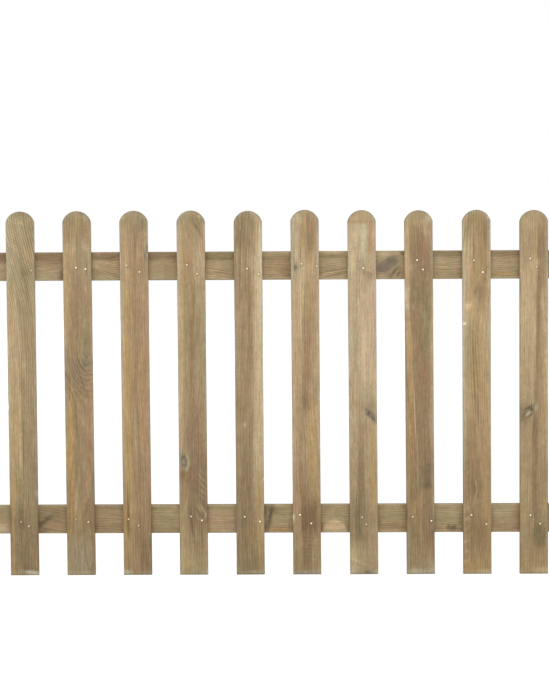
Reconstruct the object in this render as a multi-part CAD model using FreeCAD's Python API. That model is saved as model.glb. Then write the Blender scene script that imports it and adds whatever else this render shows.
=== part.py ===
"""Picket fence panel: a row of round-topped softwood pickets nailed to the front of two rails.

Millimetres. +X runs along the fence, +Y points to the back of the panel and +Z is up.
The origin is the middle of the bottom rail's back face, which is the face that bears on the posts.
"""

import os

import FreeCAD
import Part
from FreeCAD import Vector

# Pickets: planed boards with rounded long edges, a round crown and a foot sawn square.
PICKET_COUNT = 10
PICKET_LENGTH = 1150.0
PICKET_WIDTH = 89.0
PICKET_THICKNESS = 18.0
PICKET_GAP = 91.0
CROWN_RISE = 34.0
SHOULDER_RADIUS = 10.0
PICKET_ARRIS = 3.0

# Rails: two planed boards on edge, with rounded long edges and ends sawn square.
RAIL_HEIGHT = 90.0
RAIL_THICKNESS = 28.0
RAIL_ARRIS = 3.0
RAIL_OVERHANG = 45.5

# Where the rails cross the pickets, measured from the foot and from the top of the crown.
BOTTOM_RAIL_ABOVE_FOOT = 130.0
TOP_RAIL_BELOW_CROWN = 126.0

# Everything below follows from the sizes above.
PICKET_PITCH = PICKET_WIDTH + PICKET_GAP
ROW_LENGTH = PICKET_COUNT * PICKET_WIDTH + (PICKET_COUNT - 1) * PICKET_GAP
RAIL_LENGTH = ROW_LENGTH + 2 * RAIL_OVERHANG
FOOT_Z = -(BOTTOM_RAIL_ABOVE_FOOT + RAIL_HEIGHT / 2)
CROWN_Z = FOOT_Z + PICKET_LENGTH
TOP_RAIL_Z = CROWN_Z - TOP_RAIL_BELOW_CROWN - RAIL_HEIGHT / 2
RAIL_FRONT_Y = -RAIL_THICKNESS
PICKET_FRONT_Y = RAIL_FRONT_Y - PICKET_THICKNESS

# Directions and the tolerance for telling edges apart.
ALONG = Vector(1, 0, 0)
ACROSS = Vector(0, 1, 0)
SAME_PLACE = 1e-6


def picket_outline():
    """The picket seen from the front, centred on x = 0: a foot, two sides and the crown's arc."""
    half = PICKET_WIDTH / 2
    shoulder_z = CROWN_Z - CROWN_RISE
    left_foot = Vector(-half, PICKET_FRONT_Y, FOOT_Z)
    right_foot = Vector(half, PICKET_FRONT_Y, FOOT_Z)
    right_shoulder = Vector(half, PICKET_FRONT_Y, shoulder_z)
    left_shoulder = Vector(-half, PICKET_FRONT_Y, shoulder_z)
    crown = Vector(0, PICKET_FRONT_Y, CROWN_Z)
    return Part.Wire(
        [
            Part.LineSegment(left_foot, right_foot).toShape(),
            Part.LineSegment(right_foot, right_shoulder).toShape(),
            Part.Arc(right_shoulder, crown, left_shoulder).toShape(),
            Part.LineSegment(left_shoulder, left_foot).toShape(),
        ]
    )


def lies_flat(edge, direction):
    """True if both ends of the edge lie at one place along the direction."""
    places = [vertex.Point.dot(direction) for vertex in edge.Vertexes]
    return max(places) - min(places) < SAME_PLACE


def at_foot(edge):
    """True if the whole edge lies on the sawn foot."""
    return all(abs(vertex.Z - FOOT_Z) < SAME_PLACE for vertex in edge.Vertexes)


def picket_blank():
    """One picket, centred on x = 0: shoulders eased, sides and crown rounded over, foot left square."""
    board = Part.Face(picket_outline()).extrude(Vector(0, PICKET_THICKNESS, 0))
    shoulders = [edge for edge in board.Edges if not lies_flat(edge, ACROSS) and not at_foot(edge)]
    board = board.makeFillet(SHOULDER_RADIUS, shoulders)
    rim = [edge for edge in board.Edges if lies_flat(edge, ACROSS) and not at_foot(edge)]
    return board.makeFillet(PICKET_ARRIS, rim)


def picket(index):
    """The picket at that place in the row, counted from the left as seen from the front."""
    first_x = -(ROW_LENGTH - PICKET_WIDTH) / 2
    board = picket_blank()
    board.translate(Vector(first_x + index * PICKET_PITCH, 0, 0))
    return board


def rail(centre_z):
    """A rail at that height, with its back face on y = 0 and its four long edges rounded over."""
    corner = Vector(-RAIL_LENGTH / 2, RAIL_FRONT_Y, centre_z - RAIL_HEIGHT / 2)
    board = Part.makeBox(RAIL_LENGTH, RAIL_THICKNESS, RAIL_HEIGHT, corner)
    long_edges = [edge for edge in board.Edges if not lies_flat(edge, ALONG)]
    return board.makeFillet(RAIL_ARRIS, long_edges)


def write(shape, node):
    """Export one board to its own file and print its state and size."""
    shape.exportStep(os.path.join("parts", node + ".step"))
    print(node, "valid", shape.isValid(), "volume", round(shape.Volume), shape.optimalBoundingBox(True, False))


def main():
    os.makedirs("parts", exist_ok=True)
    write(rail(0.0), "bottom_rail")
    write(rail(TOP_RAIL_Z), "top_rail")
    for index in range(PICKET_COUNT):
        write(picket(index), "picket_%02d" % (index + 1))


main()
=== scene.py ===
"""Looks of the picket fence panel: planed, pressure-treated pine boards, nailed together.

Metres, in the part's own frame: +X along the fence, +Y out of the back and +Z up.
Places on a board are in millimetres: across from its centre line, along from its foot or left end,
and depth from its front face.
"""

import math

import bmesh
import bpy
import numpy as np
from mathutils import Matrix, Vector


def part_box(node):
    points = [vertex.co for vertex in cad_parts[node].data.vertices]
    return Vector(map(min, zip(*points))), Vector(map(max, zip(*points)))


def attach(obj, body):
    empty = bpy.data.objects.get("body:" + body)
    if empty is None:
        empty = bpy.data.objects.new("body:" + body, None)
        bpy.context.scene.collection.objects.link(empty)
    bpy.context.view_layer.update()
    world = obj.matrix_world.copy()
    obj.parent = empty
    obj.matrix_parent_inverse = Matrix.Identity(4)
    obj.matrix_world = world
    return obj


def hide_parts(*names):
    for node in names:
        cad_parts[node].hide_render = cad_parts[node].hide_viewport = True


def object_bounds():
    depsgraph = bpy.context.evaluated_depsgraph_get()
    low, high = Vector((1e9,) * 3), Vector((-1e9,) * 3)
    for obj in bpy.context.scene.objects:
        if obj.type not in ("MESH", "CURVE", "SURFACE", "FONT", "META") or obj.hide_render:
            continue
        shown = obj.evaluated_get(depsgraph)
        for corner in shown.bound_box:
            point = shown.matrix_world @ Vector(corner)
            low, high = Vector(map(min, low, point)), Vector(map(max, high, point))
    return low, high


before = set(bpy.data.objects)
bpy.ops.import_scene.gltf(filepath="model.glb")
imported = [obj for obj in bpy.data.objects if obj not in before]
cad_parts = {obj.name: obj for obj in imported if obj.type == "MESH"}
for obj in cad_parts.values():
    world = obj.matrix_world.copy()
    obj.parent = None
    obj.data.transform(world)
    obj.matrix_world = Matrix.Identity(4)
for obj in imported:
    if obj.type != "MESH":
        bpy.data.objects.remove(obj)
cad_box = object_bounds()
MM = 0.001

# The two rails: planed pine boards laid on edge, which carry all the pickets.
# The long edges are rounded over by the planer and the ends are left square from the saw.
# Both are flat-sawn, so their faces show long lines of grain, broken by knots.
RAIL_ARRIS = 3.0
RAIL_STEP_ACROSS = 3.0
RAIL_STEP_ALONG = 4.0
SAWN_LIP = 0.8


def tone(red, green, blue):
    """A colour written as display values from 0 to 255, made linear by the sRGB curve for the shaders."""
    display = np.array([red, green, blue]) / 255
    return np.where(display <= 0.04045, display / 12.92, ((display + 0.055) / 1.055) ** 2.4)


TAN = tone(167, 145, 112)
PALE = tone(196, 173, 139)
CREAM = tone(212, 191, 156)
GOLD = tone(188, 159, 109)
HONEY = tone(184, 142, 86)
ROSE = tone(178, 144, 115)
BROWN = tone(146, 121, 90)
PLUM = tone(134, 109, 88)
UMBER = tone(100, 81, 60)
MOSS = tone(146, 138, 98)
SAGE = tone(170, 162, 130)
OLIVE = tone(128, 113, 80)
SLATE = tone(112, 100, 90)


def rise(value, start, end):
    """0 up to start and 1 from end on, with a smooth rise between them."""
    share = np.clip((value - start) / (end - start), 0, 1)
    return share * share * (3 - 2 * share)


def fading(distance, reach):
    """1 where the distance is 0, fading out smoothly over about that reach."""
    return np.exp(-(distance / reach) ** 2)


WAVES = 9
WAVE_SPREAD = 2


def ripple(places, spacings, seed):
    """Smooth seeded noise, mostly between -1 and 1, that changes over those spacings."""
    draw = np.random.default_rng(seed)
    total = np.zeros(len(places[0]))
    for _ in range(WAVES):
        turn = draw.uniform(0, 2 * math.pi)
        for place, spacing in zip(places, spacings):
            turn = turn + place / spacing * draw.normal() * WAVE_SPREAD
        total += np.sin(turn)
    return total / math.sqrt(WAVES)


ARRIS_TURN = 22.5


def arris_lines(radius):
    """Distances from a rounded edge at which the face gets a line of vertices."""
    return radius * (1 - np.cos(np.radians(np.append(np.arange(0, 90, ARRIS_TURN), 90))))


def grid_lines(length, step, first, last):
    """Places of grid lines on a side: those given near its two ends, and even steps between."""
    low = first[-1] + step / 2
    high = length - last[-1] - step / 2
    between = np.linspace(low, high, round((high - low) / step) + 1)
    return np.concatenate([first, between, length - last[::-1]])


def mesh_from(bm, name):
    """A mesh made from a bmesh, which is then freed."""
    mesh = bpy.data.meshes.new(name)
    bm.to_mesh(mesh)
    bm.free()
    return mesh


GRID_HALF = 0.5
WALL_CUTS = 4


def board_mesh(name, columns, rows, thickness):
    """A flat board: a face with those grid lines, pulled back to the thickness, with cuts round the rim."""
    last_column = len(columns) - 1
    last_row = len(rows) - 1
    bm = bmesh.new()
    bmesh.ops.create_grid(bm, x_segments=last_column, y_segments=last_row, size=GRID_HALF)
    for vert in bm.verts:
        column = round((vert.co.x + GRID_HALF) * last_column)
        row = round((vert.co.y + GRID_HALF) * last_row)
        vert.co = (columns[column], 0, rows[row])
    pulled = bmesh.ops.extrude_face_region(bm, geom=bm.faces[:], use_keep_orig=True)
    back = [part for part in pulled["geom"] if isinstance(part, bmesh.types.BMVert)]
    bmesh.ops.translate(bm, verts=back, vec=(0, thickness, 0))
    rim = [edge for edge in bm.edges if abs(edge.verts[0].co.y - edge.verts[1].co.y) > thickness / 2]
    bmesh.ops.subdivide_edges(bm, edges=rim, cuts=WALL_CUTS)
    bmesh.ops.recalc_face_normals(bm, faces=bm.faces[:])
    return mesh_from(bm, name)


def places_of(mesh):
    """The mesh's points as three arrays: across, depth and along."""
    points = np.empty(len(mesh.vertices) * 3)
    mesh.vertices.foreach_get("co", points)
    return points.reshape(-1, 3).T.copy()


def round_over(depth, thickness, from_edge, arris):
    """Depths with both arrises rounded: a face falls away as it nears the board's outline."""
    short = np.clip(arris - from_edge, 0, arris)
    fall = arris - np.sqrt(arris * arris - short * short)
    return fall + (thickness - 2 * fall) * depth / thickness


def oval(across, along, wide, tall, turn):
    """An oval on the board: its middle, its half sizes and its tilt to the left, in degrees."""
    return {"across": across, "along": along, "wide": wide, "tall": tall, "turn": math.radians(turn)}


def oval_distance(board, spot):
    """How far each point lies from an oval's middle, with 1 at its rim."""
    across = board["across"] - spot["across"]
    along = board["along"] - spot["along"]
    side = across * math.cos(spot["turn"]) + along * math.sin(spot["turn"])
    up = along * math.cos(spot["turn"]) - across * math.sin(spot["turn"])
    return np.hypot(side / spot["wide"], up / spot["tall"])


def knot(across, along, wide, tall, colour, strength, turn, bark):
    """A branch cut through: an oval with its colour, and with so much bark round it."""
    return {**oval(across, along, wide, tall, turn), "colour": colour, "strength": strength, "bark": bark}


METRE = 1000
STRAGGLE = 0.85
STRAGGLE_TURN = 0.9
BAND_FADE = 35.0


def band(left, right, colour, strength, soft, reach, lean=0.0, fade=BAND_FADE):
    """A stripe along the grain, between two places across the board and over that reach along it.

    Its sides are soft, it leans by so many millimetres a metre, and its ends straggle as they fade.
    """
    def mask(board):
        shift = lean * (board["along"] - board["along"].max() / 2) / METRE
        place = board["bent"] - shift
        ragged = board["along"] + STRAGGLE * fade * np.sin(place * STRAGGLE_TURN + left)
        sides = rise(place, left - soft, left + soft) * (1 - rise(place, right - soft, right + soft))
        low, high = reach
        return sides * rise(ragged, low - fade, low + fade) * (1 - rise(ragged, high - fade, high + fade))
    return mask, colour, strength


def stain(across, along, wide, tall, colour, strength, turn=0.0):
    """A soft oval mark with an uneven rim: its middle, half sizes, colour, strength and tilt."""
    spot = oval(across, along, wide, tall, turn)
    return lambda board: fading(board["uneven"] * oval_distance(board, spot), 1), colour, strength


PATCH_RIM = (0.88, 1.08)


def patch(across, along, wide, tall, colour, strength, turn=0.0):
    """An oval mark like a stain, but with a clear edge."""
    spot = oval(across, along, wide, tall, turn)
    return lambda board: 1 - rise(oval_distance(board, spot), *PATCH_RIM), colour, strength


FIGURE_SOFT = 8.0


def figure(left, right, strength, reach):
    """A part of the board whose growth rings show more than elsewhere."""
    return band(left, right, None, strength, FIGURE_SOFT, reach)


# How unevenly the tree grew: by how much, and over which spacings along and across the grain.
SLOW_WANDER = 1.8
SLOW_SPACING = (330,)
QUICK_WANDER = 0.6
QUICK_SPACING = (80,)
HEART_SWAY = 5
SWAY_SPACING = (260,)
RING_WAVER = 1.2
WAVER_SPACING = (120, 30)
RIM_UNEVEN = 0.1
RIM_SPACING = (16, 16)

# The stretch over which the heart's path is eased, how soon the fibres close up past a knot, and the
# distance that stands for no knot near by.
HEART_EASE = (-24, -12, 0, 12, 24)
KNOT_PARTING = 2.4
NO_KNOT = 4.0


def lay_grain(board, plan, seed):
    """Grow the board's rings along the path of its heart, and part the fibres round each knot."""
    across = board["across"]
    along = board["along"]
    board["uneven"] = 1 + RIM_UNEVEN * ripple([across, along], RIM_SPACING, seed + 9)
    wander = SLOW_WANDER * ripple([along], SLOW_SPACING, seed)
    bent = across + (wander + QUICK_WANDER * ripple([along], QUICK_SPACING, seed + 1))
    nearest = np.full(len(bent), NO_KNOT)
    bark = np.zeros(len(bent))
    for spot in plan["knots"]:
        distance = oval_distance(board, spot)
        bark = np.where(distance < nearest, spot["bark"], bark)
        nearest = np.minimum(nearest, distance)
        bent = bent - (across - spot["across"]) / np.maximum(distance, 1) ** KNOT_PARTING
    stops_along, stops_across, stops_depth = zip(*plan["heart"])
    spread = [along + shift for shift in HEART_EASE]
    centre = np.mean([np.interp(place, stops_along, stops_across) for place in spread], 0)
    sink = np.mean([np.interp(place, stops_along, stops_depth) for place in spread], 0)
    sink = sink + HEART_SWAY * ripple([along], SWAY_SPACING, seed + 2)
    waver = RING_WAVER * ripple([along, bent], WAVER_SPACING, seed + 3)
    board["bent"] = bent
    board["fibre"] = bent - centre
    board["ring"] = np.hypot(bent - centre, board["depth"] - sink) + waver
    board["knot"] = nearest
    board["bark"] = bark
    shown = np.full(len(bent), plan["figure"])
    for mask, _, strength in plan["figures"]:
        shown = shown + strength * mask(board)
    board["figure"] = shown


def blend(board, share, colour):
    """Mix a colour into the board's own, by that share at each point."""
    board["tint"] = board["tint"] * (1 - share[:, None]) + colour * share[:, None]


def lay_marks(board, marks):
    """Lay marks on the board's colour, each over those before it."""
    for mask, colour, strength in marks:
        blend(board, strength * mask(board), colour)


# The greener wood round a knot: how strong it is, and its place and width in the knot's own half sizes.
HALO = 0.3
HALO_PLACE = 1.1
HALO_WIDE = 0.6
KNOT_FADE = (0.5, 1.35)


def paint(board, plan):
    """The board's own colour at each point, with its marks laid on in turn and its knots last."""
    board["tint"] = np.tile(plan["base"], (len(board["across"]), 1))
    lay_marks(board, plan["marks"])
    for spot in plan["knots"]:
        distance = oval_distance(board, spot)
        blend(board, HALO * spot["strength"] * fading(distance - HALO_PLACE, HALO_WIDE), MOSS)
        blend(board, spot["strength"] * (1 - rise(distance, *KNOT_FADE)), spot["colour"])


# Wear of the faces in millimetres, and the sunk ring round a knot that stands proud.
RING_WEAR = 0.11
RING_WEAR_SPACING = (5, 240)
FACE_WEAR = 0.09
FACE_WEAR_SPACING = (40, 150)
MOAT = 0.25
MOAT_PLACE = 1.25
MOAT_WIDE = 0.25
KNOT_PROUD = 0.3
KNOT_SHOULDER = (0.6, 1.1)


def weather_face(board, thickness, knots, seed):
    """Sink the soft wood of both faces a little, most of all round the knots, which stand proud."""
    outer = 1 - 2 * board["depth"] / thickness
    wear = RING_WEAR * (1 + ripple([board["ring"], board["along"]], RING_WEAR_SPACING, seed + 5))
    wear += FACE_WEAR * (1 + ripple([board["across"], board["along"]], FACE_WEAR_SPACING, seed + 6))
    for spot in knots:
        distance = oval_distance(board, spot)
        moat = MOAT * fading(distance - MOAT_PLACE, MOAT_WIDE)
        wear += moat - KNOT_PROUD * (1 - rise(distance, *KNOT_SHOULDER))
    board["depth"] = board["depth"] + wear * outer


def set_attribute(mesh, name, kind, field, values):
    """Store one value a point on the mesh, for its material to read."""
    attribute = mesh.attributes.new(name, kind, "POINT")
    attribute.data.foreach_set(field, np.ascontiguousarray(values, np.float32).ravel())


SMOOTH_ANGLE = math.radians(38)


def shade(mesh):
    """Shade the mesh smooth, apart from its sharp edges."""
    mesh.shade_smooth()
    mesh.set_sharp_from_angle(angle=SMOOTH_ANGLE)


# How the boards' grain is set apart in the noise, and how squarely a face looks along its board where it
# starts to be a cut end and where it is one.
GRAIN_APART = np.array([1, 7, 3])
END_START = 0.35
END_FULL = 0.8


def finish_board(mesh, board, turn, corner, offset):
    """Put a board's points in the part's frame, and store its grain, colour, knots and cut ends.

    The offset draws each board's grain from a place of its own in the noise.
    """
    turn = np.array(turn)
    local = np.column_stack([board["across"], board["depth"], board["along"]]) * MM
    placed = local @ turn.T + np.array(corner)
    mesh.vertices.foreach_set("co", placed.ravel())
    mesh.update()
    normals = np.empty(len(mesh.vertices) * 3)
    mesh.vertex_normals.foreach_get("vector", normals)
    facing = np.abs(normals.reshape(-1, 3) @ turn[:, 2])
    grain = np.column_stack([board["ring"], board["along"], board["fibre"] + board["depth"]])
    tint = np.column_stack([board["tint"], np.ones(len(placed))])
    set_attribute(mesh, "grain", "FLOAT_VECTOR", "vector", grain + offset * GRAIN_APART)
    set_attribute(mesh, "tint", "FLOAT_COLOR", "color", tint)
    for name in ("knot", "bark", "figure"):
        set_attribute(mesh, name, "FLOAT", "value", board[name])
    set_attribute(mesh, "cut_end", "FLOAT", "value", rise(facing, END_START, END_FULL))
    shade(mesh)


def set_out(name, data):
    """A new object in the scene with that mesh, lamp or camera."""
    made = bpy.data.objects.new(name, data)
    bpy.context.scene.collection.objects.link(made)
    return made


def new_finish(name):
    """A new material with an empty node tree."""
    material = bpy.data.materials.new(name)
    material.use_nodes = True
    material.node_tree.nodes.clear()
    return material


def node(tree, kind, inputs=None, **settings):
    """A shader node with its settings, and with each input linked to a socket or set to a value."""
    made = tree.nodes.new(kind)
    for name, value in settings.items():
        setattr(made, name, value)
    for key, value in (inputs or {}).items():
        if isinstance(value, bpy.types.NodeSocket):
            tree.links.new(value, made.inputs[key])
        else:
            made.inputs[key].default_value = value
    return made


def stored(tree, name, output="Fac"):
    """What the mesh has stored under that name."""
    return node(tree, "ShaderNodeAttribute", attribute_name=name).outputs[output]


def math_node(tree, operation, *values, **settings):
    """The result of a sum on sockets and numbers."""
    return node(tree, "ShaderNodeMath", dict(enumerate(values)), operation=operation, **settings).outputs[0]


def grey(value):
    """A colour of that value in all three channels."""
    return (value, value, value, 1)


def ramp(tree, factor, places):
    """A colour ramp with stops at those places, each a colour or a grey value."""
    made = node(tree, "ShaderNodeValToRGB", {"Fac": factor})
    elements = made.color_ramp.elements
    while len(elements) < len(places):
        elements.new(0.5)
    for element, (place, value) in zip(elements, places):
        element.position = place
        element.color = (*value, 1) if isinstance(value, tuple) else grey(value)
    return made.outputs["Color"]


def multiplied(tree, colour, factor, by):
    """A colour multiplied by another, as far as the factor says."""
    return node(tree, "ShaderNodeMix", {"Factor": factor, "A": colour, "B": by},
                data_type="RGBA", blend_type="MULTIPLY").outputs["Result"]


GRAIN_ROUGHNESS = 0.6


def grain_noise(tree, grain, size, detail, shift):
    """Noise drawn out along the wood's own grain: its size across the rings, along and across the fibres."""
    scale = tuple(1 / length for length in size)
    scaled = node(tree, "ShaderNodeMapping", {
        "Vector": grain, "Scale": scale, "Location": (shift, shift, shift)})
    return node(tree, "ShaderNodeTexNoise", {
        "Vector": scaled.outputs["Vector"], "Scale": 1.0, "Detail": detail,
        "Roughness": GRAIN_ROUGHNESS}).outputs["Fac"]


TONE_START = 0.25
TONE_END = 0.75


def toned(tree, colour, noise, dark, light):
    """A colour multiplied by a range of tones, picked by noise from dark to light."""
    return multiplied(tree, colour, 1.0, ramp(tree, noise, [(TONE_START, dark), (TONE_END, light)]))


# Noises along the grain: the size of each, its detail, and a shift that sets it apart from the others.
RING_WANDER = ((9, 300, 30), 3.0, 0.0)
RING_PATCHES = ((16, 160, 30), 2.0, 40.0)
FIBRES = ((0.9, 30, 0.6), 3.0, 71.0)
FIBRE_TONES = (0.93, 1.07)
PATCH_GAIN = 2.0

# A year's growth: pale early wood that darkens to a thin line of late wood.
YEAR = [(0.0, (0.95, 0.93, 0.9)), (0.12, (1.14, 1.13, 1.1)), (0.55, (1.08, 1.07, 1.05)),
        (0.85, (0.66, 0.6, 0.52)), (0.97, (0.6, 0.54, 0.46))]

# Streaks along the grain, from broad to short, then two drifts of hue: the size of each, its shift,
# and its dark and light tones.
STREAK_DETAIL = 2.0
STREAKS = [
    ((16, 300, 26), 7.0, (0.95, 0.95, 0.94), (1.05, 1.05, 1.05)),
    ((16, 55, 18), 47.0, (0.91, 0.895, 0.87), (1.09, 1.09, 1.09)),
    ((5, 110, 6.5), 13.0, (0.845, 0.83, 0.795), (1.155, 1.15, 1.145)),
    ((2.8, 36, 3), 23.0, (0.88, 0.87, 0.86), (1.12, 1.12, 1.12)),
    ((4.5, 13, 5), 91.0, (0.89, 0.89, 0.87), (1.11, 1.11, 1.11)),
    ((11, 30, 13), 31.0, (1.045, 0.972, 1.0), (0.955, 1.03, 0.99)),
    ((14, 130, 17), 57.0, (1.015, 1.0, 0.94), (0.985, 1.0, 1.06)),
]
CLOUDS = {"Scale": 45.0, "Detail": 5.0, "Roughness": 0.7}
CLOUD_TONES = ((0.88, 0.89, 0.87), (1.12, 1.11, 1.13))

# A knot's uneven line of bark and the faint rings inside it, by distance from its middle.
GNARLS = {"Scale": 110.0, "Detail": 3.0}
GNARL_SHARE = 0.7
BARK_SCALE = 0.5
BARK_LINE = [(0.36, 0.0), (0.47, 1.0), (0.53, 1.0), (0.7, 0.0)]
KNOT_RINGS = 26.0
KNOT_RING_FADE = [(0.7, 0.16), (1.0, 0.0)]
BARK_TONE = (0.4, 0.36, 0.32, 1)

# The darker cut ends, and the relief and sheen of the planed faces.
CUT_END_TONE = (0.62, 0.6, 0.54, 1)
PINE_BUMP = {"Strength": 0.3, "Distance": 0.0004}
PINE_ROUGH = {"To Min": 0.56, "To Max": 0.78}
PINE_GLOSS = 0.3


def treated_pine(name, ring_mm):
    """Planed pine with growth rings, streaks and fibres along its grain, and dark cut ends."""
    material = new_finish(name)
    tree = material.node_tree
    grain = stored(tree, "grain", "Vector")
    place = node(tree, "ShaderNodeTexCoord").outputs["Object"]

    # Growth rings, which show more in some places than in others.
    ring = node(tree, "ShaderNodeSeparateXYZ", {"Vector": grain}).outputs["X"]
    waver = grain_noise(tree, grain, *RING_WANDER)
    year = math_node(tree, "FRACT", math_node(tree, "MULTIPLY_ADD", ring, 1 / ring_mm, waver))
    patches = math_node(tree, "MULTIPLY", grain_noise(tree, grain, *RING_PATCHES), PATCH_GAIN)
    strong = math_node(tree, "MULTIPLY", stored(tree, "figure"), patches)
    wood = multiplied(tree, stored(tree, "tint", "Color"), strong, ramp(tree, year, YEAR))

    # Streaks and fibres along the grain, and clouds over it.
    for size, shift, dark, light in STREAKS:
        wood = toned(tree, wood, grain_noise(tree, grain, size, STREAK_DETAIL, shift), dark, light)
    fibre = grain_noise(tree, grain, *FIBRES)
    wood = toned(tree, wood, fibre, *FIBRE_TONES)
    cloud = node(tree, "ShaderNodeTexNoise", {"Vector": place, **CLOUDS}).outputs["Fac"]
    wood = toned(tree, wood, cloud, *CLOUD_TONES)

    # Knots, with a line of bark and faint rings inside it.
    bark = stored(tree, "bark")
    gnarl = node(tree, "ShaderNodeTexNoise", {"Vector": place, **GNARLS}).outputs["Fac"]
    uneven = math_node(tree, "MULTIPLY_ADD", gnarl, GNARL_SHARE, -GNARL_SHARE / 2)
    distance = math_node(tree, "ADD", stored(tree, "knot"), uneven)
    line = ramp(tree, math_node(tree, "MULTIPLY", distance, BARK_SCALE), BARK_LINE)
    wave = math_node(tree, "SINE", math_node(tree, "MULTIPLY", distance, KNOT_RINGS))
    rings = math_node(tree, "MULTIPLY", wave, ramp(tree, distance, KNOT_RING_FADE))
    dark = math_node(tree, "ADD", math_node(tree, "MULTIPLY", bark, line),
                     math_node(tree, "MULTIPLY", rings, bark), use_clamp=True)
    wood = multiplied(tree, wood, dark, BARK_TONE)

    # Cut ends drink in more of the treatment, so they are darker.
    wood = multiplied(tree, wood, stored(tree, "cut_end"), CUT_END_TONE)

    height = math_node(tree, "SUBTRACT", fibre, math_node(tree, "MULTIPLY", year, strong))
    bump = node(tree, "ShaderNodeBump", {"Height": height, **PINE_BUMP}).outputs[0]
    rough = node(tree, "ShaderNodeMapRange", {"Value": fibre, **PINE_ROUGH}).outputs[0]
    shader = node(tree, "ShaderNodeBsdfPrincipled", {
        "Base Color": wood, "Roughness": rough, "Specular IOR Level": PINE_GLOSS, "Normal": bump})
    node(tree, "ShaderNodeOutputMaterial", {"Surface": shader.outputs[0]})
    return material


RAIL_RING = 5.0
RAIL_PINE = treated_pine("rail_pine", RAIL_RING)
RAIL_TURN = Matrix(((0, 0, 1), (0, 1, 0), (-1, 0, 0)))
PICKET_NODES = sorted(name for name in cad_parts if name.startswith("picket"))
# Painted shade on each rail beside the right edge of every picket: how dark it is and how far it reaches.
PAINTED_SHADE = 0.16
PAINTED_SHADE_REACH = 8.0
EDGE_TONE = tone(188, 175, 151)
RAIL_EDGE_TONE = EDGE_TONE * 0.8
WORN_ABOVE = 0.35
WORN_BELOW = 0.55
WORN_REACH = 4.5
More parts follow.
